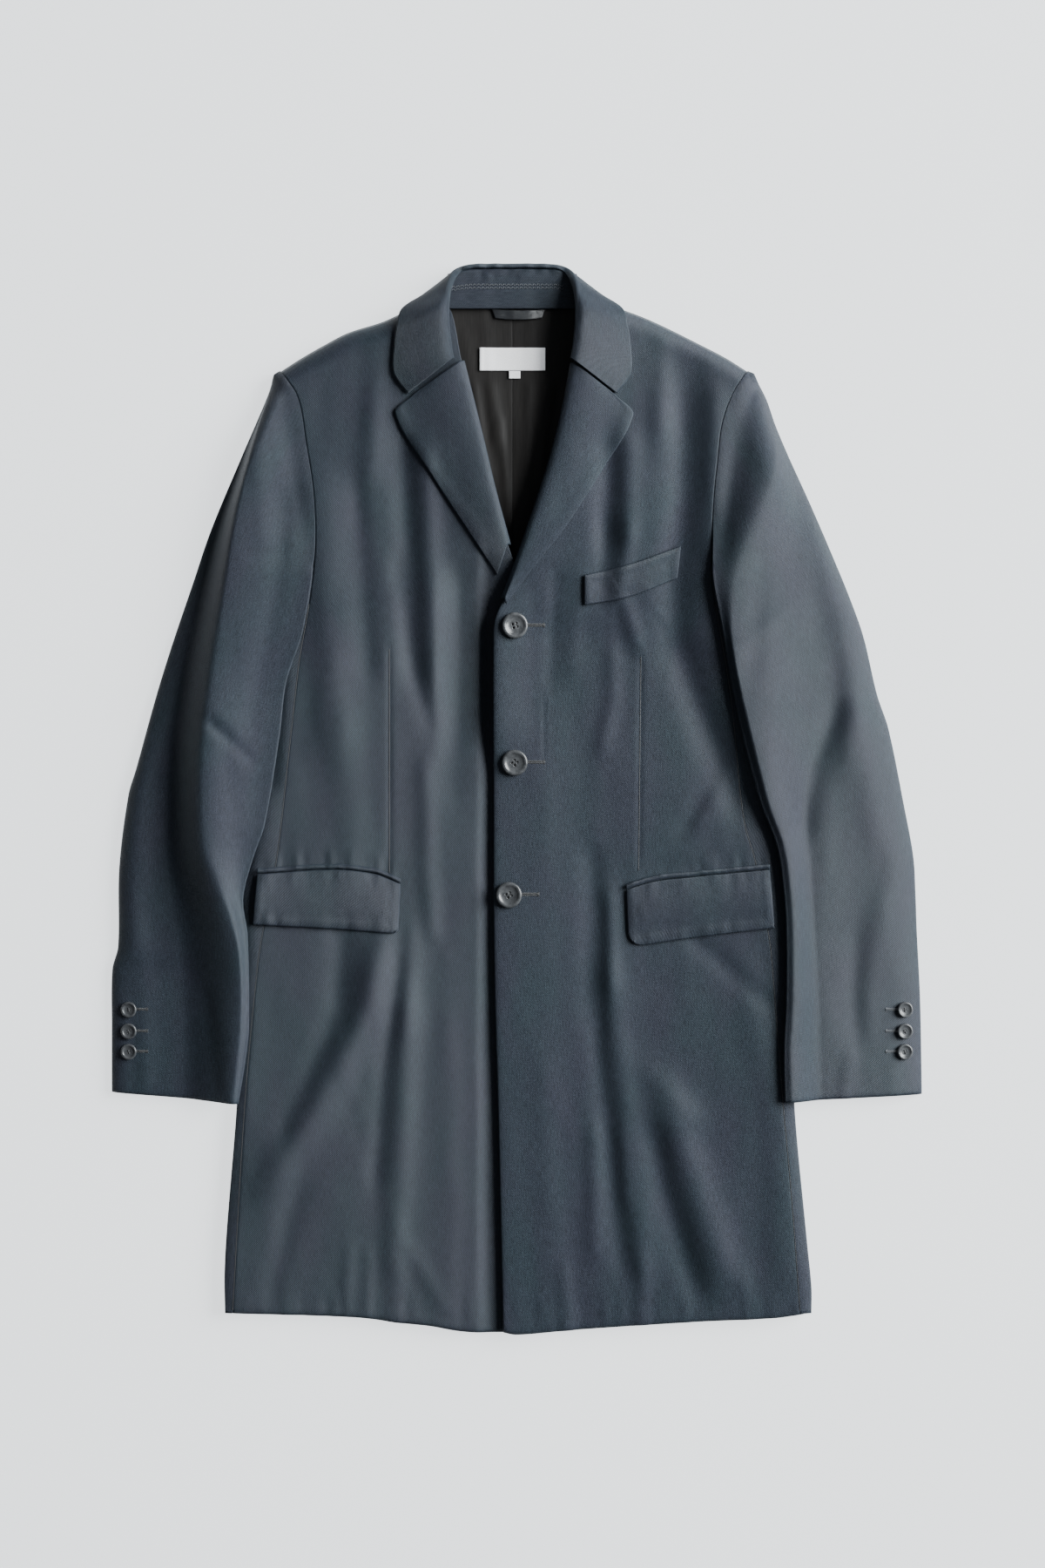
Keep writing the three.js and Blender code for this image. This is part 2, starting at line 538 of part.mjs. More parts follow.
// A four-hole button with a raised rim and a dished face, its back at z = 0.
function button(name, { diameter, height, sides }, x, y, z, normal) {
  const r = diameter / 2;
  const profile = [
    [0, 0], [r * 0.7, 0], [r * 0.97, height * 0.35], [r, height * 0.7], [r * 0.92, height],
    [r * 0.8, height], [r * 0.68, height * 0.72], [0, height * 0.66],
  ].map(([radius, level]) => new THREE.Vector2(radius, level));
  const solidOf = (geometry) => {
    geometry.deleteAttribute("normal");
    geometry.deleteAttribute("uv");
    const merged = mergeVertices(geometry, 1e-4);
    return new wasm.Manifold(
      new wasm.Mesh({
        numProp: 3,
        vertProperties: merged.attributes.position.array,
        triVerts: new Uint32Array(merged.index.array),
      }),
    );
  };
  let body = solidOf(new THREE.LatheGeometry(profile, sides));
  const holeRadius = diameter * 0.045;
  const spread = diameter * 0.085;
  for (const [sx, sz] of [[1, 1], [-1, 1], [-1, -1], [1, -1]]) {
    const hole = new THREE.CylinderGeometry(holeRadius, holeRadius, height * 4, 5);
    body = body.subtract(solidOf(hole.translate(sx * spread, 0, sz * spread)));
  }
  const cut = body.getMesh();
  const geometry = new THREE.BufferGeometry();
  geometry.setAttribute("position", new THREE.BufferAttribute(new Float32Array(cut.vertProperties), 3));
  geometry.setIndex(new THREE.BufferAttribute(new Uint32Array(cut.triVerts), 1));
  geometry.rotateX(Math.PI / 2);
  const mesh = piece(name, geometry, HORN);
  mesh.quaternion.setFromUnitVectors(point(0, 0, 1), normal);
  mesh.position.set(x, y, z);
  return mesh;
}

// Seats a button on a height field: it is tilted to the cloth, and clears it all round.
function seated(name, form, x, y, top) {
  const { diameter } = form;
  const reach = diameter / 2;
  const slopeX = (top(x + reach, y) - top(x - reach, y)) / diameter;
  const slopeY = (top(x, y + reach) - top(x, y - reach)) / diameter;
  const normal = point(-slopeX, -slopeY, 1).normalize();
  const plane = (dx, dy) => slopeX * dx + slopeY * dy;
  let z = -Infinity;
  for (const r of [0, 0.4, 0.75])
    for (const a of steps(12)) {
      const [dx, dy] = [r * reach * Math.cos(2 * Math.PI * a), r * reach * Math.sin(2 * Math.PI * a)];
      z = Math.max(z, top(x + dx, y + dy) - plane(dx, dy));
    }
  return button(name, form, x, y, z + BUTTON_GAP, normal);
}

const coat = new THREE.Group();

coat.add(front("front_left", LEFT_FRONT_EDGE, LEFT_SIDE_SEAM, LEFT_SHOULDER, LEFT_HEM, leftFrontTop));
coat.add(front("front_right", RIGHT_FRONT_EDGE, RIGHT_SIDE_SEAM, RIGHT_SHOULDER, RIGHT_HEM, rightFrontTop));
coat.add(sideBody("side_body_left", LEFT_SIDE_SEAM, LEFT_BODY_EDGE));
coat.add(sideBody("side_body_right", RIGHT_SIDE_SEAM, RIGHT_BODY_EDGE));
coat.add(back("back_left", LEFT_SIDE_SEAM, LEFT_BODY_EDGE, LEFT_SHOULDER));
coat.add(back("back_right", RIGHT_SIDE_SEAM, RIGHT_BODY_EDGE, RIGHT_SHOULDER));
coat.add(...sleeve("sleeve_left", true));
coat.add(...sleeve("sleeve_right", false));

const LEFT_ROLL = [[49.5, 380], [41, 336], [29, 290], [7, 224], [-11, 175]];
const RIGHT_ROLL = [[-48.5, 382], [-33, 320], [-21, 270], [-8, 222]];
const LEFT_LAPEL_EDGE = [[87, 352], [102, 336], [74, 286], [44, 239], [14, 201], [-9, 170]];
const RIGHT_LAPEL_EDGE = [[-92, 352], [-107, 337], [-73, 280], [-42, 233], [-17, 196]];
const LAPEL_RISE = 2.4; // how far a lapel's face arches over the front
coat.add(lapel("lapel_left", LEFT_ROLL, LEFT_LAPEL_EDGE, leftFrontTop, LAPEL_RISE));
coat.add(lapel("lapel_right", RIGHT_ROLL, RIGHT_LAPEL_EDGE, rightFrontTop, LAPEL_RISE));

coat.add(collar(), collarStand());
coat.add(lining("lining_back_left", 1), lining("lining_back_right", -1));

const flap = { lift: LAY + 0.3, thickness: 2, count: [10, 4], stiff: 1.6 };
const jet = { thickness: 1.6, count: [10, 1], stiff: 1.4 };
const LEFT_FLAP = { top: [[96, -81], [150, -72], [222, -65]], foot: [[98, -131], [160, -122], [226, -114]] };
const RIGHT_FLAP = {
  top: [[-102, -75], [-160, -65], [-228, -67]],
  foot: [[-104, -119], [-160, -115], [-232, -111]],
};
const raised = (line, by) => line.map(([x, y]) => [x, y + by]);
const POCKETS = [["left", LEFT_FLAP, leftFrontTop], ["right", RIGHT_FLAP, rightFrontTop]];
for (const [side, { top, foot }, cloth] of POCKETS) {
  coat.add(patch("pocket_flap_" + side, top, foot, cloth, flap));
  coat.add(patch("pocket_jet_" + side, raised(top, 5), raised(top, 1), cloth, jet));
}
const WELT_CUT = { thickness: 2, count: [9, 2], stiff: 0.8 };
const WELT = { top: [[59, 195], [100, 205], [144, 221]], foot: [[59, 169], [100, 177], [141, 193]] };
coat.add(patch("breast_welt", WELT.top, WELT.foot, leftFrontTop, WELT_CUT));

const onLining = () => LINING_TOP;
const ribbon = { lift: SEAM, thickness: RIBBON, finish: WHITE_RIBBON, count: [2, 1] };
coat.add(patch("label", [[-33, 397], [25, 397]], [[-33, 377], [25, 377]], onLining, ribbon));
coat.add(patch("size_tab", [[-7, 376.5], [3, 376.5]], [[-7, 370], [3, 370]], onLining, ribbon));
const loop = { lift: SEAM, thickness: LINING, finish: LINING_FINISH, count: [4, 1] };
coat.add(patch("hanger_loop", [[-22, 431], [25, 431]], [[-19, 423], [22, 423]], onLining, loop));

// Real sizes of the buttons: 36 lines down the front and 22 lines at the cuffs
const FRONT_BUTTON = { diameter: 23, height: 3.6, sides: 20 };
const CUFF_BUTTON = { diameter: 14, height: 2.8, sides: 14 };
const FRONT_BUTTONS = [[-2, 151], [-2, 31], [-7, -85]];
const CUFF_BUTTON_X = 341;
const CUFF_BUTTON_Y = [-186, -205, -223];
FRONT_BUTTONS.forEach(([x, y], k) =>
  coat.add(seated(`front_button_${k + 1}`, FRONT_BUTTON, x, y, leftFrontTop)));

CUFF_BUTTON_Y.forEach((y, k) => {
  coat.add(seated(`cuff_button_left_${k + 1}`, CUFF_BUTTON, CUFF_BUTTON_X, y, sleeveTop(true)));
  coat.add(seated(`cuff_button_right_${k + 1}`, CUFF_BUTTON, -CUFF_BUTTON_X, y, sleeveTop(false)));
});

export default coat;
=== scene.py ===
"""A buttoned chesterfield coat laid flat on its back, seen from straight above.

Lengths are in millimetres, +Y towards the collar and +X to the wearer's left, until mesh_object() turns
them into metres. Left and right are the wearer's. Each piece of cloth is a thin closed shell.
"""
import math

import bpy
import numpy as np
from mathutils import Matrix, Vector


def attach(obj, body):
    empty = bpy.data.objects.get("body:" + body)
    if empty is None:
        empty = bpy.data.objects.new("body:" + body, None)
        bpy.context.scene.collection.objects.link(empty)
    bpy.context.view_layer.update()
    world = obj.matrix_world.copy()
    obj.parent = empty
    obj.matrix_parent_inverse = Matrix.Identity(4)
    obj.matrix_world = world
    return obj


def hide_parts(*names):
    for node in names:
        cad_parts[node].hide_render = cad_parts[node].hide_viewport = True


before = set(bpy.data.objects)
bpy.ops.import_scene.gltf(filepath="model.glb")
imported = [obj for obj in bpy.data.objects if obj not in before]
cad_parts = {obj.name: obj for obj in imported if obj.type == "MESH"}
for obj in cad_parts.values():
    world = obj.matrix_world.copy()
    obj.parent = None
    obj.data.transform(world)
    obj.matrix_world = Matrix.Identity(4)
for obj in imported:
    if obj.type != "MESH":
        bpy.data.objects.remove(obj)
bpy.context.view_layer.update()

MM = 0.001

# Walls of cloth, and the spaces between pieces
CLOTH = 1.8
LINING = 1.0
RIBBON = 0.6
FLAP = 2.0
JET = 1.6
SEAM = 0.25  # half the space between pieces that are sewn edge to edge
SEAM_SINK = 0.25
LAY = 0.6  # space between a piece and what it lies on
BUTTON_GAP = 0.7
TUCK = 3.5  # how far a front passes under its neighbour at the armhole and side seam

# Heights of the laid coat above the floor
WAIST_LOFT = 14
CHEST_LOFT = 6
ROLL_LOFT = 6
SIDE_ROUND = 17
SIDE_START = 3
SIDE_FOOT = 7
SHOULDER_ROUND = 20
SHOULDER_FOOT = 4.4
WRAP_DROP = 3.2
SIDE_LIP = 60
SLEEVE_ROUND = {"left": 32, "right": 16}
FOLD_ROUND = 7
CAP_ROUND = 32
EASE_WIDTH = 20
OVER_BODY = WAIST_LOFT + 8.5

HEM_Y = -470
UNDERARM_Y = 190
NECK_SEAM_Y = 432
NECK_X = -4

# Edges of the cut pieces, as points of [x, y]
FRONT_EDGE = {
    "left": [[62, 441], [53, 424], [50, 382], [41, 336], [29, 290], [7, 224], [-11, 175], [-18, 160],
             [-20.5, 145], [-20.5, 12], [-20, -142], [-16, -296], [-12, -469]],
    "right": [[-68, 441], [-57, 424], [-49, 385], [-33, 320], [-21, 270], [-8, 222], [6, 185], [15, 155],
              [17, 120], [17, -142], [19, -300], [21, -468]],
}
SIDE_SEAM = {
    "left": [[203, 376], [190, 356], [180, 329], [176, 299], [172, 259], [171, 220], [171, 193], [176, 160],
             [188, 89], [200, -21], [210, -57], [221, -118], [224, -142], [234, -270], [241, -347],
             [249, -454]],
    "right": [[-208, 376], [-192, 352], [-184, 309], [-178, 270], [-176, 230], [-178, 200], [-183, 165],
              [-191, 120], [-200, 43], [-211, -53], [-223, -116], [-228, -149], [-239, -268], [-250, -453]],
}
BODY_EDGE = {
    "left": [[193, 200], [208, 89], [226, -21], [235.5, -60], [240, -118], [241.5, -160], [245, -270],
             [256, -389], [260, -430], [260, -454]],
    "right": [[-197, 200], [-211, 110], [-219, 43], [-234, -53], [-243, -85], [-241.5, -116],
              [-241.5, -160], [-247, -268], [-256, -380], [-258, -420], [-257.5, -453]],
}
SHOULDER = {
    "left": [[62, 441], [92, 431], [111, 424], [131, 415], [159, 401], [184, 388], [203, 376]],
    "right": [[-68, 441], [-94, 431], [-118, 420], [-149, 410], [-172, 398], [-191, 387], [-208, 376]],
}
HEM = {
    "left": [[-12, -469], [0, -471], [41, -468], [99, -464], [165, -460], [227, -457], [249, -454]],
    "right": [[21, -468], [-13, -470], [-47, -469], [-76, -464], [-105, -461], [-134, -457], [-174, -455],
              [-250, -453]],
}
# A sleeve's inner edge follows the armhole first
SLEEVE_INNER = {
    "left": [[x + 0.5, y] for x, y in SIDE_SEAM["left"][:7]] + [
        [180, 148], [190, 91], [200, 46], [214, -5], [228, -42], [234, -82], [236, -116], [236, -178],
        [234, -222], [235, -267]],
    "right": [[x - 0.5, y] for x, y in SIDE_SEAM["right"][:6]] + [
        [-188, 144], [-202, 102], [-208, 55], [-221, -23], [-231, -52], [-240, -88], [-236, -121],
        [-235, -202], [-238, -230], [-244, -268]],
}
SLEEVE_OUTER = {
    "left": [[209, 373], [220, 352], [228, 329], [239, 303], [259, 259], [278, 215], [294, 176], [306, 142],
             [318, 91], [328, 61], [342, -8], [350, -52], [352, -87], [353, -116], [356, -178],
             [357.5, -261]],
    "right": [[-214, 372], [-221, 352], [-242, 303], [-270, 236], [-286, 189], [-304, 136], [-318, 91],
              [-336, 26], [-343, 2], [-351, -62], [-352, -131], [-357, -151], [-357.5, -203], [-357.5, -259]],
}
SIGN = {"left": 1, "right": -1}

# Soft ridges, or troughs where the height is negative: (x, y) points along each, half width, height.
# The folds are the large ones, which the source has too.
FOLDS = [
    ([(-172, 260), (-160, 60)], 18, 3),
    ([(-100, 300), (-90, 120)], 11, -2.5),
    ([(-80, 290), (-72, 110)], 11, 2.5),
    ([(-122, 385), (-128, 290)], 11, 2),
    ([(-125, -158), (-130, -185), (-160, -245), (-205, -320)], 18, 4.5),
    ([(-96, -190), (-98, -230), (-102, -300), (-108, -400)], 12, 2.5),
    ([(148, 380), (146, 260), (139, 200), (140, 140), (160, 80), (190, 10)], 15, -5),
    ([(80, 300), (79, 235)], 11, -3),
    ([(98, 300), (98, 240)], 11, 2.5),
    ([(82, -160), (85, -200), (98, -290), (110, -400)], 13, 2.4),
    ([(66, -60), (66, -170), (80, -290), (92, -400)], 10, -2),
    ([(140, -290), (162, -360), (176, -400)], 18, 5),
    ([(124, -310), (130, -345), (155, -425)], 11, -2.5),
]
CREASES = [
    ([(-119, -125), (-130, -185), (-150, -225)], 13, 1.5),
    ([(-155, -125), (-158, -190), (-200, -285)], 11, -1.6),
    ([(-92, -125), (-97, -200)], 9, 1.6),
    ([(-106, -150), (-116, -240), (-124, -330)], 8, -1.2),
    ([(-140, 260), (-132, 120)], 10, -1.4),
    ([(-105, 200), (-96, 130), (-78, 70)], 8, -1.0),
    ([(-150, 60), (-146, -50)], 14, 1.0),
    ([(-80, 20), (-78, -60), (-76, -110)], 9, 1.6),
    ([(-60, 100), (-56, 10)], 10, -0.8),
    ([(-212, 100), (-216, 20)], 8, -2.5),
    ([(-148, -400), (-150, -455)], 6, 0.8),
    ([(-130, -405), (-131, -457)], 6, 0.8),
    ([(-105, -420), (-106, -462)], 9, 0.9),
    ([(-92, -400), (-68, -440)], 8, 0.7),
    ([(-190, -330), (-214, -430)], 12, -1.4),
    ([(-60, -200), (-58, -430)], 12, 0.8),
    ([(128, 392), (126, 330)], 10, 2.2),
    ([(78, 235), (76, 190)], 9, -1.8),
    ([(97, 225), (91, 180), (104, 140)], 8, 1.8),
    ([(84, 120), (84, 85), (76, 50)], 8, 1.6),
    ([(34, 190), (29, 110)], 7, -1.0),
    ([(55, 190), (50, 120)], 9, 0.9),
    ([(165, -18), (185, 12)], 9, 1.4),
    ([(150, -20), (168, 12)], 8, -1.2),
    ([(82, -95), (82, -160)], 8, 2.0),
    ([(74, -100), (75, -200)], 6, -0.8),
    ([(92, -300), (96, -350)], 7, 1.0),
    ([(68, -300), (68, -390)], 8, 1.4),
    ([(125, -250), (150, -275)], 12, 1.2),
    ([(205, -170), (228, -290), (236, -400)], 16, 1.8),
    ([(160, -128), (215, -175)], 10, -1.4),
    ([(110, -415), (112, -467)], 7, 1.3),
    ([(42, -420), (44, -472)], 7, 1.3),
    ([(200, -430), (202, -458)], 7, 1.0),
    ([(25, -250), (30, -420)], 12, 0.8),
    ([(176, 350), (173, 290), (170, 220)], 10, 2.0),
]


def clamp01(t):
    return np.clip(t, 0, 1)


def mix(a, b, t):
    return a + (b - a) * t


def smooth(start, end, value):
    t = clamp01((value - start) / (end - start))
    return t * t * (3 - 2 * t)


def bell(t):
    return np.exp(-t ** 2)


def round_over(t):
    return np.sqrt(1 - (1 - clamp01(t)) ** 2)


def between(t, a, b, slope_a, slope_b):
    """Smooth course from a to b with the given slopes at its ends."""
    t2, t3 = t * t, t ** 3
    levels = (2 * t3 - 3 * t2 + 1) * a + (3 * t2 - 2 * t3) * b
    return levels + (t3 - 2 * t2 + t) * slope_a + (t3 - t2) * slope_b


def through(points, key):
    """Value at `key` of a smooth line through [value, key] points, the keys rising or falling."""
    p = np.array(points, float)
    if p[0, 1] > p[-1, 1]:
        p = p[::-1]
    values, keys = p[:, 0], p[:, 1]
    after = np.minimum(np.arange(len(p)) + 1, len(p) - 1)
    before = np.maximum(np.arange(len(p)) - 1, 0)
    slopes = (values[after] - values[before]) / (keys[after] - keys[before])
    key = np.clip(key, keys[0], keys[-1])
    i = np.clip(np.searchsorted(keys, key) - 1, 0, len(p) - 2)
    span = keys[i + 1] - keys[i]
    t = (key - keys[i]) / span
    return between(t, values[i], values[i + 1], span * slopes[i], span * slopes[i + 1])


def y_at(points, x):
    return through([(y, px) for px, y in points], x)


def off_line(start, end, width, x, y):
    """How far a point is from a piece of a line, in fold widths: it counts half beyond the ends."""
    dx, dy = end[0] - start[0], end[1] - start[1]
    length = math.hypot(dx, dy)
    along = ((x - start[0]) * dx + (y - start[1]) * dy) / length
    across = ((x - start[0]) * dy - (y - start[1]) * dx) / length
    past = np.maximum(0, np.maximum(-along, along - length))
    return np.hypot(across, past / 2) / width


def fold_height(folds, x, y):
    total = 0.0
    for line, width, height in folds:
        off = np.minimum.reduce([off_line(a, b, width, x, y) for a, b in zip(line, line[1:])])
        total = total + height * bell(off)
    return total


LATTICE = np.random.RandomState(7).uniform(-1, 1, (64, 64))


def waver(x, y, size_x, size_y, shift=0):
    """Smooth seeded unevenness between about -1 and 1, with bumps of the given sizes."""
    gx, gy = np.asarray(x) / size_x + 17.3 * shift, np.asarray(y) / size_y + 5.7 * shift
    ix, iy = np.floor(gx).astype(int), np.floor(gy).astype(int)
    fx, fy = smooth(0, 1, gx - ix), smooth(0, 1, gy - iy)
    at = lambda dx, dy: LATTICE[(ix + dx) % 64, (iy + dy) % 64]
    return mix(mix(at(0, 0), at(1, 0), fx), mix(at(0, 1), at(1, 1), fx), fy)


# Seams pressed into the fronts: the darts, and the seam under each pocket mouth
DARTS = {"left": [(109, 124), (107, -64)], "right": [(-112, 131), (-112, -66)]}
PRESS_MARK = [(23.5, 88), (24, 34)]
FLAPS = {
    "left": {"top": [[96, -81], [118, -74], [150, -70], [222, -63]],
             "foot": [[98, -131], [160, -122], [226, -114]]},
    "right": {"top": [[-102, -76], [-124, -67], [-160, -63], [-228, -67]],
              "foot": [[-104, -119], [-160, -115], [-232, -111]]},
}


def groove(line, x, y, width, depth):
    """A seam's narrow groove with the cloth puffed a little on both sides of it."""
    (x0, y0), (x1, y1) = line
    across = x - mix(x0, x1, clamp01((y - y0) / (y1 - y0)))
    ends = smooth(0, 18, np.minimum(y0 - y, y - y1) + 9)
    return ends * depth * (0.7 * bell(across / (4 * width)) - 1.7 * bell(across / width))


def body_top(x, y, side):
    """Outer face of the buttoned fronts and side bodies, before the overlap."""
    sign = SIGN[side]
    roll_x = through(FRONT_EDGE[side], np.maximum(y, UNDERARM_Y))
    at_roll = bell((x - roll_x) / 42) * smooth(150, 260, y)
    quiet = 1 - 0.75 * smooth(330, 400, y)
    pocket = smooth(30, 0, np.abs(y + 95)) * smooth(70, 110, np.abs(x))
    z = WAIST_LOFT + CHEST_LOFT * smooth(60, 260, y) + ROLL_LOFT * at_roll
    z = z + fold_height(FOLDS, x, y) * quiet * (1 - 0.7 * pocket)
    z = z + fold_height(CREASES, x, y) * quiet * (1 - 0.8 * pocket)
    z = z + 0.5 * waver(x, y, 34, 90, 1) + 0.16 * waver(x, y, 11, 26, 2)
    near_hem = smooth(-425, -455, y)
    z = z + near_hem * 0.45 * waver(x, y, 7, 40, 3)
    z = z + groove(DARTS[side], x, y, 2.4, 0.35)
    under_mouth = bell((y - y_at(FLAPS[side]["top"], x) - 8) / 9) * smooth(85, 110, np.abs(x))
    z = z + under_mouth * 0.6 * waver(x, y, 6, 30, 4)
    if side == "left":
        z = z + groove(PRESS_MARK, x, y, 1.4, 0.3)
    edge = np.abs(through(BODY_EDGE[side], y))
    turn = round_over((edge - np.abs(x) + SIDE_START) / SIDE_ROUND)
    z = mix(SIDE_FOOT, z, mix(1, turn, smooth(UNDERARM_Y + 40, UNDERARM_Y, y)))
    shoulder_y = y_at(SHOULDER[side], sign * np.clip(np.abs(x), 62, 208))
    return mix(SHOULDER_FOOT, z, round_over((shoulder_y - y) / SHOULDER_ROUND))


def front_top(x, y, side):
    """Outer face of one front, the left one raised over the right one where they overlap."""
    if side == "left":
        edge = 6 * bell((x + 18) / 26) * smooth(10, 70, y) * smooth(200, 150, y)
        edge = edge + 2 * bell((x + 16) / 40) * smooth(70, 10, y)
        return body_top(x, y, side) + edge + 1.5 * smooth(60, 20, x) * smooth(240, 160, y)
    wide = 6 * smooth(-74, -48, x) * smooth(20, 80, y) * smooth(215, 180, y)
    narrow = WRAP_DROP * smooth(-36, -24, x) * smooth(240, 190, y)
    return body_top(x, y, side) - wide - narrow


def steps(count, start=0.0, end=1.0):
    return np.linspace(start, end, count + 1)


def grid(rows, columns):
    """Arrays of v down the rows and u along the columns."""
    return np.meshgrid(rows, columns, indexing="ij")


def face_normals(points):
    along = np.gradient(points, axis=0)
    across = np.gradient(points, axis=1)
    normal = np.cross(across, along)
    return normal / np.maximum(np.linalg.norm(normal, axis=2, keepdims=True), 1e-9)


def mesh_object(name, vertices, faces, material, uv=None):
    """A smooth-shaded object from millimetre vertices."""
    mesh = bpy.data.meshes.new(name)
    mesh.from_pydata((np.asarray(vertices) * MM).tolist(), [], [list(map(int, f)) for f in faces])
    mesh.polygons.foreach_set("use_smooth", [True] * len(mesh.polygons))
    if uv is not None:
        layer = mesh.uv_layers.new(name="cloth")
        index = np.empty(len(mesh.loops), int)
        mesh.loops.foreach_get("vertex_index", index)
        layer.data.foreach_set("uv", (np.asarray(uv)[index] * MM).ravel())
    mesh.materials.append(material)
    obj = bpy.data.objects.new(name, mesh)
    bpy.context.scene.collection.objects.link(obj)
    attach(obj, "root")
    return obj


def shell(name, outer, thickness, material):
    """A closed wall of cloth behind a grid of points on its outer face, with rounded edges."""
    n, m, _ = outer.shape
    inner = outer + face_normals(outer) * thickness
    ids = np.arange(n * m).reshape(n, m)
    quads = np.stack([ids[:-1, :-1], ids[1:, :-1], ids[1:, 1:], ids[:-1, 1:]], axis=-1).reshape(-1, 4)
    rim = [(i, 0) for i in range(n - 1)] + [(n - 1, j) for j in range(m - 1)]
    rim += [(i, m - 1) for i in range(n - 1, 0, -1)] + [(0, j) for j in range(m - 1, 0, -1)]
    ri, rj = np.array(rim).T
    inside_i, inside_j = np.clip(ri, 1, n - 2), np.clip(rj, 1, m - 2)
    outward = outer[ri, rj] - outer[inside_i, inside_j]
    outward /= np.maximum(np.linalg.norm(outward, axis=1, keepdims=True), 1e-9)
    bulge = (outer[ri, rj] + inner[ri, rj]) / 2 + outward * abs(thickness) * 0.1
    vertices = np.concatenate([outer.reshape(-1, 3), inner.reshape(-1, 3), bulge])
    a = ids[ri, rj]
    b = np.roll(a, -1)
    mid_a = 2 * n * m + np.arange(len(a))
    mid_b = np.roll(mid_a, -1)
    strip = [np.stack([a, mid_a, mid_b, b], axis=1), np.stack([mid_a, a + n * m, b + n * m, mid_b], axis=1)]
    faces = np.concatenate([quads, quads[:, ::-1] + n * m] + strip)
    t0, t1, t2, t3 = (vertices[faces[:, k]] for k in range(4))
    volume = (np.cross(t0, t1) * t2).sum() + (np.cross(t0, t2) * t3).sum()
    if volume < 0:
        faces = faces[:, ::-1]
    lengths = lambda axis: np.linalg.norm(np.diff(outer, axis=axis), axis=2)
    u = np.concatenate([np.zeros((n, 1)), np.cumsum(lengths(1), axis=1)], axis=1)
    v = np.concatenate([np.zeros((1, m)), np.cumsum(lengths(0), axis=0)], axis=0)
    uv = np.stack([u.ravel(), v.ravel()], axis=1)
    uv = np.concatenate([uv, uv, uv[a]])
    return mesh_object(name, vertices, faces, material, uv)


def cut_piece(piece, node):
    """Hides the model's part that a piece of cloth stands for."""
    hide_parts(node)


# Materials

def node_material(name):
    material = bpy.data.materials.new(name)
    material.use_nodes = True
    tree = material.node_tree
    return material, tree, tree.nodes["Principled BSDF"]


def settings(node, values):
    for name, value in values.items():
        node.inputs[name].default_value = value


def link(tree, source, target):
    tree.links.new(source, target)


def noise(tree, vector, scale, detail=2.0, roughness=0.5):
    node = tree.nodes.new("ShaderNodeTexNoise")
    settings(node, {"Scale": scale, "Detail": detail, "Roughness": roughness})
    link(tree, vector, node.inputs["Vector"])
    return node.outputs["Fac"]


def stretched(tree, vector, scale):
    node = tree.nodes.new("ShaderNodeMapping")
    node.inputs["Scale"].default_value = scale
    link(tree, vector, node.inputs["Vector"])
    return node.outputs["Vector"]


def ramp(tree, value, stops):
    node = tree.nodes.new("ShaderNodeValToRGB")
    elements = node.color_ramp.elements
    while len(elements) < len(stops):
        elements.new(0.5)
    for element, (position, colour) in zip(elements, stops):
        element.position = position
        element.color = (*colour, 1)
    link(tree, value, node.inputs["Fac"])
    return node.outputs["Color"]


def blend_colour(tree, mode, share, first, second):
    node = tree.nodes.new("ShaderNodeMix")
    node.data_type = "RGBA"
    node.blend_type = mode
    node.inputs["Factor"].default_value = share
    link(tree, first, node.inputs["A"])
    link(tree, second, node.inputs["B"])
    return node.outputs["Result"]


def maths(tree, operation, first, second):
    node = tree.nodes.new("ShaderNodeMath")
    node.operation = operation
    for socket, value in zip(node.inputs, (first, second)):
        if isinstance(value, (int, float)):
            socket.default_value = value
        else:
            link(tree, value, socket)
    return node.outputs[0]


def bump(tree, bsdf, height, distance, strength=1.0):
    node = tree.nodes.new("ShaderNodeBump")
    settings(node, {"Distance": distance, "Strength": strength})
    link(tree, height, node.inputs["Height"])
    link(tree, node.outputs["Normal"], bsdf.inputs["Normal"])


def cloth_coordinates(tree):
    """Places on the cloth in metres, across and along its grain."""
    return tree.nodes.new("ShaderNodeUVMap").outputs["UV"]


def twill(tree, vector, pitch):
    """Diagonal ribs `pitch` metres apart."""
    split = tree.nodes.new("ShaderNodeSeparateXYZ")
    link(tree, vector, split.inputs[0])
    slant = maths(tree, "ADD", split.outputs["X"], maths(tree, "MULTIPLY", split.outputs["Y"], 0.55))
    return maths(tree, "SINE", maths(tree, "MULTIPLY", slant, 2 * math.pi / pitch), 0.0)


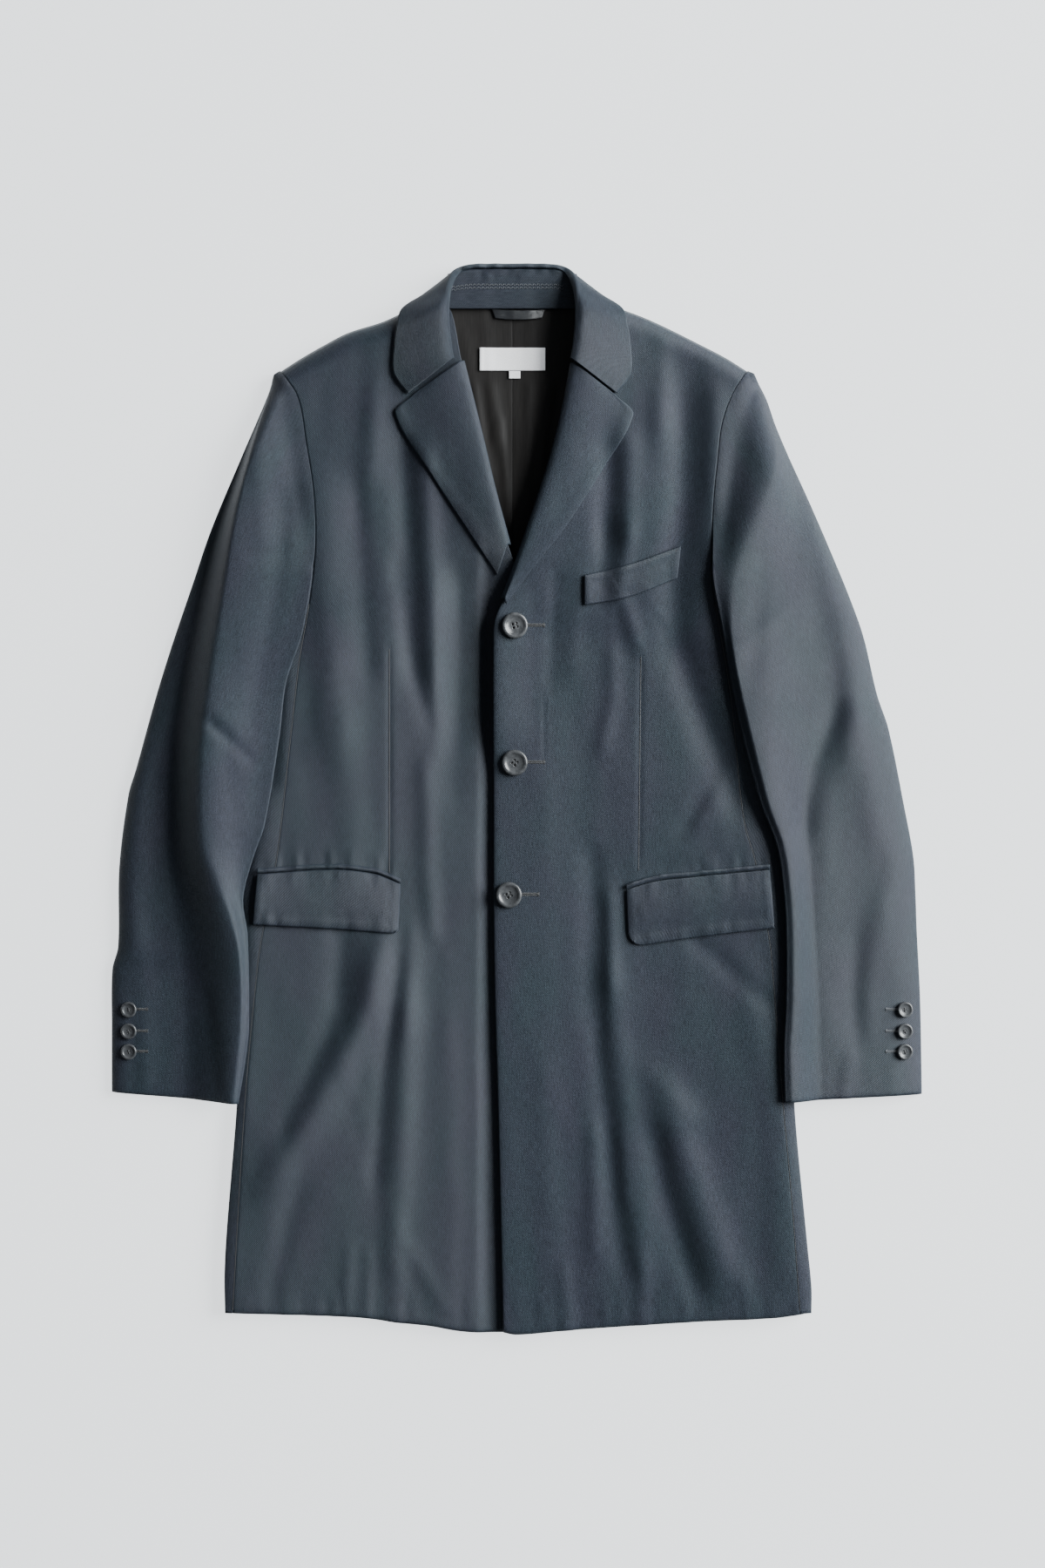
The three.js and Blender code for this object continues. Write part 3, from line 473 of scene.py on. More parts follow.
def wool_material():
    material, tree, bsdf = node_material("wool")
    cloth = cloth_coordinates(tree)
    streaks = noise(tree, stretched(tree, cloth, (1100, 120, 1)), 1.0, 3)
    grain = noise(tree, stretched(tree, cloth, (900, 750, 1)), 1.0, 4, 0.65)
    clouds = noise(tree, stretched(tree, cloth, (22, 9, 1)), 1.0, 3)
    dye = ramp(tree, streaks, [(0.3, (0.0093, 0.012, 0.0166)), (0.7, (0.0178, 0.0231, 0.0306))])
    tint = ramp(tree, clouds, [(0.35, (1.03, 0.93, 1.05)), (0.65, (0.89, 1.05, 1.04))])
    speck = ramp(tree, grain, [(0.3, (0.5, 0.5, 0.52)), (0.7, (1.46, 1.46, 1.44))])
    dye = blend_colour(tree, "MULTIPLY", 1.0, dye, tint)
    dye = blend_colour(tree, "MULTIPLY", 0.85, dye, speck)
    link(tree, dye, bsdf.inputs["Base Color"])
    rough = ramp(tree, grain, [(0.3, (0.46, 0.46, 0.46)), (0.7, (0.62, 0.62, 0.62))])
    link(tree, rough, bsdf.inputs["Roughness"])
    settings(bsdf, {"Specular IOR Level": 0.2, "Sheen Weight": 0.04, "Sheen Roughness": 0.45,
                    "Sheen Tint": (0.62, 0.78, 0.9, 1)})
    ribs = maths(tree, "MULTIPLY", twill(tree, cloth, 0.0011), 0.35)
    relief = maths(tree, "ADD", ribs, maths(tree, "ADD", grain, maths(tree, "MULTIPLY", streaks, 0.6)))
    bump(tree, bsdf, relief, 0.00022)
    return material


def lining_material():
    material, tree, bsdf = node_material("lining")
    cloth = cloth_coordinates(tree)
    streaks = noise(tree, stretched(tree, cloth, (700, 60, 1)), 1.0, 2)
    clouds = noise(tree, stretched(tree, cloth, (30, 18, 1)), 1.0, 2)
    dye = ramp(tree, streaks, [(0.3, (0.005, 0.0045, 0.0043)), (0.7, (0.0088, 0.008, 0.0076))])
    shade = ramp(tree, clouds, [(0.35, (0.85, 0.82, 0.82)), (0.65, (1.15, 1.12, 1.08))])
    link(tree, blend_colour(tree, "MULTIPLY", 1.0, dye, shade), bsdf.inputs["Base Color"])
    settings(bsdf, {"Roughness": 0.6, "Specular IOR Level": 0.2, "Sheen Weight": 0.05,
                    "Sheen Tint": (0.7, 0.6, 0.55, 1)})
    bump(tree, bsdf, streaks, 0.0001, 0.6)
    return material


def horn_material():
    material, tree, bsdf = node_material("horn")
    coordinates = tree.nodes.new("ShaderNodeTexCoord").outputs["Object"]
    clouds = noise(tree, coordinates, 260, 4, 0.6)
    colour = ramp(tree, clouds, [(0.3, (0.02, 0.021, 0.023)), (0.7, (0.05, 0.052, 0.055))])
    link(tree, colour, bsdf.inputs["Base Color"])
    scratches = noise(tree, stretched(tree, coordinates, (2500, 700, 900)), 1.0, 3)
    rough = ramp(tree, scratches, [(0.3, (0.2, 0.2, 0.2)), (0.7, (0.36, 0.36, 0.36))])
    link(tree, rough, bsdf.inputs["Roughness"])
    bsdf.inputs["Specular IOR Level"].default_value = 0.35
    bump(tree, bsdf, scratches, 0.00004, 0.6)
    return material


def thread_material(name, colour):
    material, tree, bsdf = node_material(name)
    coordinates = tree.nodes.new("ShaderNodeTexCoord").outputs["Object"]
    fibres = noise(tree, coordinates, 2200, 3)
    dark, light = [tuple(c * f for c in colour) for f in (0.6, 1.35)]
    link(tree, ramp(tree, fibres, [(0.3, dark), (0.7, light)]), bsdf.inputs["Base Color"])
    settings(bsdf, {"Roughness": 0.5, "Sheen Weight": 0.2})
    bump(tree, bsdf, fibres, 0.0001, 0.7)
    return material


def ribbon_material(name, colour, roughness):
    material, tree, bsdf = node_material(name)
    cloth = cloth_coordinates(tree)
    ribs = twill(tree, stretched(tree, cloth, (1, 0, 1)), 0.0007)
    weave = noise(tree, stretched(tree, cloth, (1800, 900, 1)), 1.0, 3)
    dark, light = [tuple(c * f for c in colour) for f in (0.88, 1.06)]
    link(tree, ramp(tree, weave, [(0.3, dark), (0.7, light)]), bsdf.inputs["Base Color"])
    bsdf.inputs["Roughness"].default_value = roughness
    bump(tree, bsdf, maths(tree, "ADD", weave, maths(tree, "MULTIPLY", ribs, 0.3)), 0.00012, 0.7)
    return material


WOOL = wool_material()
LINING_CLOTH = lining_material()
HORN = horn_material()
# Dark thread of the buttons and buttonholes; the same colour also serves as painted shadow along the seams
DARK_THREAD_AND_SEAM_SHADE = thread_material("dark_thread_and_seam_shade", (0.006, 0.0066, 0.009))
PALE_THREAD = thread_material("pale_thread", (0.06, 0.066, 0.076))
WHITE_RIBBON = ribbon_material("white_ribbon", (0.8, 0.79, 0.8), 0.75)
LOOP_RIBBON = ribbon_material("loop_ribbon", (0.013, 0.014, 0.016), 0.3)


def front(side):
    """One front, in rows from its front edge to its armhole and side seam."""
    edge, seam, shoulder, hem = FRONT_EDGE[side], SIDE_SEAM[side], SHOULDER[side], HEM[side]
    rows = np.concatenate([steps(16, 0, 0.05)[:-1], steps(290, 0.05, 1)])
    turned_edge = np.array([0, 0.004, 0.009, 0.015])
    v, u = grid(rows, np.concatenate([turned_edge, steps(112, 0.022, 0.991), [0.996, 1]]))
    front_y, side_y = mix(edge[0][1], edge[-1][1], v), mix(seam[0][1], seam[-1][1], v)
    x = mix(through(edge, front_y), through(seam, side_y) - SIGN[side] * SEAM, u)
    bow = lambda line, start, end: y_at(line, mix(start[0], end[0], u)) - mix(start[1], end[1], u)
    y = mix(front_y, side_y, u) + bow(shoulder, edge[0], seam[0]) * smooth(0.12, 0, v)
    y += bow(hem, edge[-1], seam[-1]) * smooth(0.85, 1, v)
    z = front_top(x, y, side)
    from_edge = np.abs(x - through(edge, y))
    z -= 0.9 * np.exp(-from_edge / 1.6) * smooth(200, 150, y)
    z -= 0.8 * np.exp(-np.abs(y - y_at(hem, x)) / 1.8)
    points = np.stack([x, y, z], axis=2)
    allowance = points[:, -1:] + [SIGN[side] * TUCK, 0, -CLOTH - 0.8]
    points[:, -1, 2] -= SEAM_SINK
    points = np.concatenate([points, allowance], axis=1)
    return shell(f"cloth_front_{side}", points, CLOTH * SIGN[side], WOOL)


# How a side body turns under the coat: how far in from its edge, and how high
SIDE_TURN = [(0.25, 5.2), (0.1, 4), (0.3, 2.7), (0.8, 1.6), (1.7, 0.7), (3, 0.2), (6, 0), (28, 0),
             (SIDE_LIP, 0)]


def side_body(side):
    """One side body: over the coat's edge, and flat underneath as far as the back."""
    sign = SIGN[side]
    y = np.linspace(UNDERARM_Y + 6, -453, 220)
    seam, edge = through(SIDE_SEAM[side], y), through(BODY_EDGE[side], y)
    rows = []
    for t in np.concatenate([[0, 0.008, 0.025, 0.06], steps(9, 0.12, 1)]):
        x = mix(seam + sign * SEAM, edge - sign * 0.8, t)
        rows.append(np.stack([x, y, body_top(x, y, side) - SEAM_SINK * math.exp(-t * 60)], axis=1))
    for inward, z in SIDE_TURN:
        rows.append(np.stack([edge - sign * inward, y, np.full_like(y, z)], axis=1))
    return shell(f"cloth_side_body_{side}", np.stack(rows, axis=1), CLOTH * sign, WOOL)


def back(side):
    """One half of the back, flat on the floor."""
    sign, seam = SIGN[side], SIDE_SEAM[side]
    armhole_y = mix(SHOULDER[side][-1][1] - 2, UNDERARM_Y + 1.5, steps(40))
    skirt_y = mix(UNDERARM_Y, -452, steps(90))
    outer_x = np.concatenate([
        through(seam, armhole_y) - sign * SEAM,
        through(BODY_EDGE[side], skirt_y) - sign * (SIDE_LIP + 2 * SEAM),
    ])
    outer_y = np.concatenate([armhole_y, skirt_y])
    share, u = grid((outer_y[0] - outer_y) / (outer_y[0] - outer_y[-1]), steps(36))
    x = mix(sign * SEAM, outer_x[:, None], u)
    y = mix(mix(NECK_SEAM_Y, HEM_Y + 4, share), outer_y[:, None], u)
    crown = y_at(SHOULDER[side], sign * np.clip(np.abs(x), 62, 208)) - 3 - mix(NECK_SEAM_Y, outer_y[0], u)
    y = y + crown * smooth(0.02, 0, share) * smooth(0.25, 0.35, u)
    return shell(f"cloth_back_{side}", np.stack([x, y, np.full_like(x, CLOTH)], axis=2), CLOTH * sign, WOOL)


def under_sleeve(x, y, side):
    """What the sleeves lie on: the floor, rising steeply over the body's side below the armhole."""
    beyond = np.abs(x) - np.abs(through(BODY_EDGE[side], y))
    climbed = smooth(18, 3, beyond) * smooth(UNDERARM_Y + 32, UNDERARM_Y + 6, y)
    return climbed * (WAIST_LOFT + 3.5 + 4.5 * smooth(60, 200, y))


# Each sleeve rises from its inner edge to a crest, and falls from there to a foot, beyond which it is low.
# The lines are points of [x, y], and the heights points of [z, y].
SLEEVE_CREST = {
    "left": [[207, 374], [219, 345], [226, 321], [224, 289], [212, 255], [200, 220], [190, 190], [188, 140],
             [197, 91], [208, 46], [221, -5], [234, -42], [240, -82], [242, -116], [242, -178], [240, -222],
             [241, -267]],
    "right": [[-212, 373], [-220, 345], [-228.5, 313], [-244, 243], [-253, 182], [-264, 104], [-271, 46],
              [-273, -3], [-270, -44], [-259, -77], [-249, -106], [-242, -139], [-241, -188], [-248, -267]],
}
SLEEVE_FOOT = {
    "left": [[212, 370], [232, 345], [246, 300], [258, 250], [270, 200], [280, 160], [286, 120], [284, 90],
             [274, 60], [262, 30], [256, 0], [258, -42], [262, -100], [267, -180], [270, -267]],
    "right": [[-215, 371], [-224, 345], [-238, 313], [-263, 243], [-279, 182], [-297, 104], [-306, 46],
              [-309, -44], [-305, -85], [-299, -126], [-295, -167], [-294, -267]],
}
CREST_HEIGHT = {
    "left": [[17, 374], [24, 340], [29, 300], [32, 240], [31, 190], [28, 60], [25, -60], [24, -267]],
    "right": [[16, 374], [25, 340], [30, 300], [35, 200], [39, 60], [38, -60], [31, -160], [26, -267]],
}
FOOT_HEIGHT = {
    "left": [[10, 374], [13, 330], [16, 200], [15, 100], [16, 50], [15, -60], [13, -160], [12, -267]],
    "right": [[7, 374], [7, 240], [10, 160], [12, 60], [13, -60], [11, -160], [11, -267]],
}
SLEEVE_FOLDS = {
    "left": [([(198, 335), (184, 262)], 12, -3.5), ([(262, 230), (286, 160), (297, 110), (290, 40)], 13, 2),
             ([(318, -100), (309, -175)], 12, 1.6)],
    "right": [([(-202, 250), (-208, 180), (-229, 70)], 9, -3), ([(-330, 60), (-336, -120)], 12, 1.5)],
}
SLEEVE_CREASES = {
    "left": [([(214, 200), (206, 120)], 10, -1.0), ([(196, 130), (230, 160)], 9, 0.8),
             ([(278, 70), (262, 30), (254, -20)], 10, -2.2), ([(300, 60), (312, -20)], 14, 1.4),
             ([(275, -20), (268, -130), (276, -230)], 16, 1.0), ([(300, -130), (298, -200)], 9, -1.3),
             ([(292, -232), (288, -262)], 7, 0.9), ([(330, -60), (332, -150)], 12, 0.8)],
    "right": [([(-262, 62), (-232, 34)], 6, -2.0), ([(-252, 40), (-240, -60)], 8, -1.0),
              ([(-205, 330), (-196, 280)], 7, -1.4), ([(-225, 300), (-222, 230)], 9, 1.0),
              ([(-272, -180), (-262, -262)], 8, -1.2), ([(-330, -120), (-326, -250)], 9, 1.0)],
}


def sleeve_top(x, y, side):
    """Outer face of a sleeve's top: sewn level with the body at the armhole, and over its side below."""
    out = np.abs(x)
    at = lambda line: np.abs(through(line[side], y))
    inner_x, outer_x = at(SLEEVE_INNER), at(SLEEVE_OUTER)
    crest_x, foot_x = at(SLEEVE_CREST), at(SLEEVE_FOOT)
    layers = CLOTH + LAY + CLOTH
    lowest = under_sleeve(x, y, side) + layers
    falling = smooth(0, 1, (out - crest_x) / np.maximum(1, foot_x - crest_x))
    rising = smooth(0, 1, (crest_x - out) / np.maximum(1, crest_x - inner_x))
    sewn = smooth(UNDERARM_Y + 4, UNDERARM_Y + 80, y)
    seam_height = body_top(x - SIGN[side] * 2, y, side)
    inner_height = mix(OVER_BODY + 4 * smooth(60, 200, y), seam_height, sewn)
    z = mix(through(CREST_HEIGHT[side], y), through(FOOT_HEIGHT[side], y), falling)
    z = z + fold_height(SLEEVE_FOLDS[side] + SLEEVE_CREASES[side], x, y)
    z = z + 0.5 * waver(x, y, 26, 70, 5) + 0.15 * waver(x, y, 10, 24, 6)
    z = mix(z, inner_height, rising)
    z = mix(layers, z, round_over((outer_x - out) / SLEEVE_ROUND[side]))
    z = mix(SHOULDER_FOOT, z, round_over((SLEEVE_OUTER[side][0][1] + 4 - y) / CAP_ROUND))
    rounded = mix(lowest, z, round_over((out - inner_x) / FOLD_ROUND))
    z = mix(rounded, z, smooth(UNDERARM_Y, UNDERARM_Y + 20, y))
    ease = 0.8 * np.sin(math.pi * clamp01((out - inner_x) / EASE_WIDTH))
    z = mix(z, seam_height + ease, sewn * smooth(EASE_WIDTH, 0, out - inner_x))
    return np.maximum(lowest, z)


SLEEVE_LENGTH = 650


def sleeve_grid(inner, outer, v, u):
    inner_y, outer_y = mix(inner[0][1], inner[-1][1], v), mix(outer[0][1], outer[-1][1], v)
    inner_x, outer_x = through(inner, inner_y), through(outer, outer_y)
    return mix(outer_x, inner_x, u), mix(outer_y, inner_y, u)


def sleeve(side):
    """The top and under pieces of a sleeve."""
    inner, outer, sign = SLEEVE_INNER[side], SLEEVE_OUTER[side], SIGN[side]
    rows = np.concatenate([steps(16, 0, 0.07)[:-1], steps(230, 0.07, 1)])
    across = (1 - np.cos(math.pi * steps(90))) / 2
    v, u = grid(rows, mix(steps(90), across, 0.6))
    x, y = sleeve_grid(inner, outer, v, u)
    z = sleeve_top(x, y, side)
    z -= 0.7 * np.exp(-(1 - v) * SLEEVE_LENGTH / 1.8)
    top = shell(f"cloth_sleeve_{side}_top", np.stack([x, y, z], axis=2), -CLOTH * sign, WOOL)
    v, u = grid(steps(90), steps(34))
    tucked = [[px - sign * LAY, py] for px, py in outer]
    x, y = sleeve_grid(inner, tucked, v, u)
    points = np.stack([x, y, under_sleeve(x, y, side)], axis=2)
    return top, shell(f"cloth_sleeve_{side}_under", points, CLOTH * sign, WOOL)


ROLL = {"left": [[49.5, 380], [41, 336], [29, 290], [7, 224], [-11, 175]],
        "right": [[-48.5, 382], [-33, 320], [-21, 270], [-8, 222]]}
LAPEL_EDGE = {"left": [[87, 352], [102, 336], [74, 286], [44, 239], [14, 201], [-9, 170]],
              "right": [[-92, 352], [-107, 337], [-73, 280], [-42, 233], [-17, 196]]}
LAPEL_RISE = 2.4
# How a lapel turns over at its roll line: how far out from the line, and how high over the front
LAPEL_TURN = [(2.9, -1.5), (2.9, -0.2), (2.4, 1.2), (1.4, 2.3)]


def lapel(side):
    """A lapel from its gorge seam down to the break, turned back along the roll line."""
    roll, outer, sign = ROLL[side], LAPEL_EDGE[side], SIGN[side]
    v, u = grid(steps(110), steps(46, 0.03, 1))
    roll_y, outer_y = mix(roll[0][1], roll[-1][1], v), mix(outer[0][1], outer[-1][1], v)
    roll_x, outer_x = through(roll, roll_y), through(outer, outer_y)
    x, y = mix(roll_x, outer_x, u), mix(roll_y, outer_y, u)
    crown = LAPEL_RISE * np.sin(math.pi * np.sqrt(u)) * (1 - v * 0.5)
    z = front_top(x, y, side) + LAY + CLOTH + crown + 0.4 * v
    width = np.abs(outer_x - roll_x)
    from_edge = (1 - u) * width
    z += 0.35 * bell((from_edge - 5) / 4) - 0.5 * np.exp(-from_edge / 1.2)
    z += 0.12 * waver(x, y, 8, 8, 8) * np.exp(-from_edge / 9)
    fold_x, fold_y = roll_x[:, 0], roll_y[:, 0]
    fold_z = front_top(fold_x, fold_y, side)
    hidden = [np.stack([fold_x - sign * out, fold_y, fold_z + up], axis=1) for out, up in LAPEL_TURN]
    points = np.concatenate([np.stack(hidden, axis=1), np.stack([x, y, z], axis=2)], axis=1)
    return shell(f"cloth_lapel_{side}", points, CLOTH * sign, WOOL)


# The collar's leaf: its fold, its free edge, the way it turns at the fold, and its lift. Where no height is
# given it lies on the front, and behind the neck it passes under the stand.
COLLAR_STATIONS = [
    ((52, 383, None), (91.5, 354, None), (0, 0, -1), 3.4),
    ((54, 394, None), (104, 372, None), (0, 0, -1), 3.6),
    ((56, 411, None), (103.5, 398, None), (0, 0, -1), 3.8),
    ((57, 430, None), (101, 414, 23.5), (-0.2, 0, -0.98), 4.4),
    ((57, 444, 27), (97, 429, 19), (-0.5, -0.2, -0.84), 0),
    ((55, 456, 21), (82, 441, 11), (-0.8, -0.4, -0.45), 0),
    ((50, 465, 13), (66, 450, 4), (-0.7, -0.7, 0.1), 0),
    ((38, 469.5, 8), (44, 436, 0), (-0.2, -0.7, 0.7), 0),
    ((19, 470.5, 6.5), (20, 434, 0), (0, -0.7, 0.7), 0),
    ((0, 470.5, 6.5), (0, 434, 0), (0, -0.7, 0.7), 0),
]


def collar_section(station, side):
    roll, edge, turn, lift = station
    sign = SIGN[side]

    def placed(place):
        x = NECK_X + sign * place[0]
        if place[2] is not None:
            return np.array([x, place[1], place[2]], float)
        y = min(place[1], y_at(SHOULDER[side], sign * max(abs(x), 62)) - 6)
        return np.array([x, place[1], float(front_top(x, y, side)) + LAY + CLOTH])

    r, e = placed(roll), placed(edge)
    r[2] += lift if roll[2] is None else 0
    e[2] += 0.5 if edge[2] is None else 0
    turned = np.array([sign * turn[0], turn[1], turn[2]])
    inward = (r - e) * [1, 1, 0]
    inward /= np.linalg.norm(inward)
    behind = edge[2] == 0
    if behind:
        start = [r + [0, -3.6, 7], r + [0, -0.8, 4.6]]
    else:
        start = [r + turned * 5 + inward * 1.2, r + turned * 2 + inward * 1.6]
    leaf = []
    for t in (0, 0.12, 0.35, 0.65, 1):
        p = mix(r, e, t)
        arch = lift * 0.9 * math.sin(math.pi * math.sqrt(t))
        p[2] = mix(r[2], 0, smooth(0, 0.2, t)) if behind else p[2] + arch
        leaf.append(p)
    return start + leaf


def refined(points, rows, columns):
    """A finer grid through a coarse one, smooth in both directions."""

    def finer(values, count):
        last = len(values) - 1
        place = np.linspace(0, last, count)
        i = np.clip(place.astype(int), 0, last - 1)
        t = (place - i)[:, None, None]
        before, after = values[np.maximum(i - 1, 0)], values[np.minimum(i + 2, last)]
        a, b = values[i], values[i + 1]
        return between(t, a, b, (b - before) / 2, (after - a) / 2)

    down = finer(points, rows)
    return finer(down.transpose(1, 0, 2), columns).transpose(1, 0, 2)


def collar():
    left = [collar_section(s, "left") for s in COLLAR_STATIONS]
    right = [collar_section(s, "right") for s in COLLAR_STATIONS]
    fine = refined(np.array(left + right[::-1][1:]), 260, 44)
    x, y = fine[..., 0], fine[..., 1]
    top_edge = bell((y - 468) / 7)
    fine[..., 2] += top_edge * 0.9 * waver(x, y, 7, 30, 9) + 0.15 * waver(x, y, 12, 12, 10)
    fine[..., 2] = np.maximum(fine[..., 2], 0)
    return shell("cloth_collar", fine, -CLOTH, WOOL)


STAND_HALF = 58.5


def stand_points(dx, u):
    end = smooth(0.6, 1, np.abs(dx) / STAND_HALF)
    x = NECK_X + dx * mix(1, 0.97, u)
    return x, mix(NECK_SEAM_Y - 0.8, 465 - 4 * end, u), mix(6.6, 10.6, u ** 1.3)


def stand_height(x, y, z, u):
    """The stand's height with its puckers and the seam that runs along it."""
    puckers = 0.8 * waver(x, y, 6, 16, 11) * smooth(0.55, 1, u) + 0.3 * waver(x, y, 12, 30, 12)
    return z + puckers + 0.3 * bell((u - 0.42) / 0.06)


def collar_stand():
    dx, u = grid(steps(150, -STAND_HALF, STAND_HALF), steps(30))
    x, y, z = stand_points(dx, u)
    points = np.stack([x, y, stand_height(x, y, z, u)], axis=2)
    return shell("cloth_collar_stand", points, -CLOTH, WOOL)


LINING_EDGE = [[60, 432], [62, 400], [58, 360], [48, 310], [36, 270], [22, 225], [16, 205]]
LINING_TOP = CLOTH + LAY + LINING + 0.3
# Soft pleats of the lining, like the folds above
LINING_PLEATS = [([(34, 430), (22, 300)], 6, 1.5), ([(44, 360), (30, 280)], 5, 1.1),
                 ([(12, 420), (8, 260)], 5, 0.8), ([(-30, 430), (-18, 320)], 6, 1.2),
                 ([(-44, 400), (-26, 290)], 5, 1.0), ([(-14, 330), (-6, 230)], 4, 0.7)]


def lining_top(x, y):
    """The lining's upper face, which is flatter above the foot of the label."""
    below_label = smooth(372, 360, y)
    pleats = fold_height(LINING_PLEATS, x, y) * mix(0.25, 1, below_label)
    return LINING_TOP + pleats + 0.3 * (1 + waver(x, y, 9, 40, 13)) * mix(0.3, 1, below_label)


def lining(side):
    """One half of the back's lining, where the neck shows it and a little under the fronts."""
    sign = SIGN[side]
    v, u = grid(steps(120), np.concatenate([[0, 0.004, 0.011], steps(40, 0.025, 1)]))
    y = mix(NECK_SEAM_Y, 205, v)
    from_seam = mix(0.05, through(LINING_EDGE, y), u)
    x = NECK_X + sign * from_seam
    z = lining_top(x, y) - 0.2 * np.exp(-from_seam / 0.8)
    points = np.stack([x, y, z], axis=2)
    if side == "right":
        points = np.concatenate([points[:, :1] + [2, 0, -LINING - 0.2], points], axis=1)
    return shell(f"lining_{side}", points, LINING * sign, LINING_CLOTH)


def on_front(side):
    return lambda x, y: front_top(x, y, side)


def on_sleeve(side):
    return lambda x, y: sleeve_top(x, y, side)


def patch(name, upper, lower, top, thickness, material, count, shape):
    """A flat piece between two lines that run from its inner to its outer end, lying on `top`."""
    v, u = grid(steps(count[1]), steps(count[0]))
    upper_x, lower_x = mix(upper[0][0], upper[-1][0], u), mix(lower[0][0], lower[-1][0], u)
    x, y = mix(upper_x, lower_x, v), mix(y_at(upper, upper_x), y_at(lower, lower_x), v)
    x, y, rise = shape(x, y, u, v)
    z = top(x, y) + LAY + thickness + rise
    outward = np.sign(upper[-1][0] - upper[0][0])
    return shell(name, np.stack([x, y, z], axis=2), thickness * outward, material)


FLAP_SIZE = (130, 48)
FLAP_CORNER = {"left": 15, "right": 5}


def pocket_flap(side):
    """A pocket flap with a rounded front corner, gathered along its mouth and its foot."""
    sign, radius, (width, depth) = SIGN[side], FLAP_CORNER[side], FLAP_SIZE

    def shape(x, y, u, v):
        from_front = np.clip(1 - u * width / radius, 0, 1)
        from_foot = np.clip(1 - (1 - v) * depth / radius, 0, 1)
        beyond = np.maximum(np.hypot(from_front, from_foot) - 1, 0) * radius
        x = x + sign * beyond * from_front * 0.75
        y = y + beyond * from_foot * 0.75
        gathers = waver(x, y, 7, 60, 14) * (0.9 * smooth(0.5, 0, v) + 1.0 * smooth(0.6, 1, v))
        edge = np.minimum(np.minimum(u * width, (1 - v) * depth), (1 - u) * width)
        belly = 1.6 * np.sin(math.pi * np.clip(v * 1.1, 0, 1)) * smooth(0, 0.12, u)
        stitched = 0.35 * bell((edge - 5) / 3) - 0.7 * np.exp(-edge / 1.4)
        return x, y, belly + 0.6 * (gathers + 0.6) + stitched + 1.6 * smooth(0.7, 1, u)

    upper, lower = FLAPS[side]["top"], FLAPS[side]["foot"]
    return patch(f"cloth_flap_{side}", upper, lower, on_front(side), FLAP, WOOL, (120, 46), shape)


def pocket_jet(side):
    """The narrow folded strip above a pocket flap."""

    def shape(x, y, u, v):
        pucker = waver(x, y, 5, 30, 15)
        rise = 0.9 * np.sin(math.pi * v) + 0.35 * pucker + 0.3 + 1.4 * smooth(0.7, 1, u)
        return x, y + 0.5 * pucker, rise

    raised = lambda by: [[x, y + by] for x, y in FLAPS[side]["top"]]
    return patch(f"cloth_jet_{side}", raised(5.2), raised(1), on_front(side), JET, WOOL, (130, 8), shape)


WELT_SIZE = (85, 28)
WELT = {"top": [[59, 195], [100, 205], [144, 221]], "foot": [[59, 169], [100, 177], [141, 193]]}


def breast_welt():
    width, depth = WELT_SIZE

    def shape(x, y, u, v):
        edge = np.minimum(v * depth, np.minimum(u, 1 - u) * width)
        gathers = waver(x, y, 8, 24, 16) * smooth(0.6, 1, v)
        rise = 0.5 * gathers + 0.35 * bell((edge - 4) / 3) - 0.6 * np.exp(-edge / 1.2)
        return x, y, rise + 0.4 + 0.5 * np.sin(math.pi * v) + 0.8 * smooth(0.7, 1, u)

    upper, lower = WELT["top"], WELT["foot"]
    return patch("cloth_breast_welt", upper, lower, on_front("left"), FLAP, WOOL, (80, 30), shape)


def label():
    def shape(x, y, u, v):
        fold = 0.25 * bell((np.minimum(u, 1 - u) * 58 - 2) / 1.2)
        return x, y, fold + 0.3 + 0.25 * waver(x, y, 16, 10, 17)

    return patch("label_ribbon", [[-33, 397], [25, 397]], [[-33, 377], [25, 377]], lining_top, RIBBON,
                 WHITE_RIBBON, (60, 24), shape)


def size_tab():
    return patch("size_tab_ribbon", [[-7, 376.5], [3, 376.5]], [[-7, 370], [3, 370]], lining_top, RIBBON,
                 WHITE_RIBBON, (14, 10), lambda x, y, u, v: (x, y, 0.2 + 0.3 * v))


def hanger_loop():
    def shape(x, y, u, v):
        middle = np.sin(math.pi * u)
        return x, y - 1.5 * middle, 1.4 * middle + 0.3 * waver(x, y, 7, 5, 18) + 0.4

    return patch("hanger_loop_ribbon", [[-22, 431], [25, 431]], [[-19, 423], [22, 423]], lining_top, LINING,
                 LOOP_RIBBON, (60, 14), shape)


# Buttons, buttonholes and stitches

def seat(top, x, y, reach):
    """Place and slope for something `reach` from its middle to its edge, clear of the cloth under it."""
    slope_x = float(top(x + reach, y) - top(x - reach, y)) / (2 * reach)
    slope_y = float(top(x, y + reach) - top(x, y - reach)) / (2 * reach)
    high = -1e9
    for radius in (0, 0.4 * reach, 0.75 * reach):
        for turn in steps(12, 0, 2 * math.pi):
            dx, dy = radius * math.cos(turn), radius * math.sin(turn)
            high = max(high, float(top(x + dx, y + dy)) - slope_x * dx - slope_y * dy)
    normal = Vector((-slope_x, -slope_y, 1)).normalized()
    return Vector((x, y, high)), Vector((0, 0, 1)).rotation_difference(normal)


# A button's outline from its dish over its rim to its back: shares of radius and height
BUTTON_DISH = 0.62
BUTTON_RIM = [(0.6, 0.74), (0.68, 0.86), (0.73, 0.97), (0.79, 1.03), (0.86, 1.04), (0.93, 0.98), (0.98, 0.82),
              (1.0, 0.6), (0.97, 0.35), (0.86, 0.16), (0.7, 0.04), (0.5, 0)]
BUTTON_SIDES = 72
HOLE_SHARE = 0.1
HOLE_SPREAD = 0.19
HOLE_DEPTH = 0.55


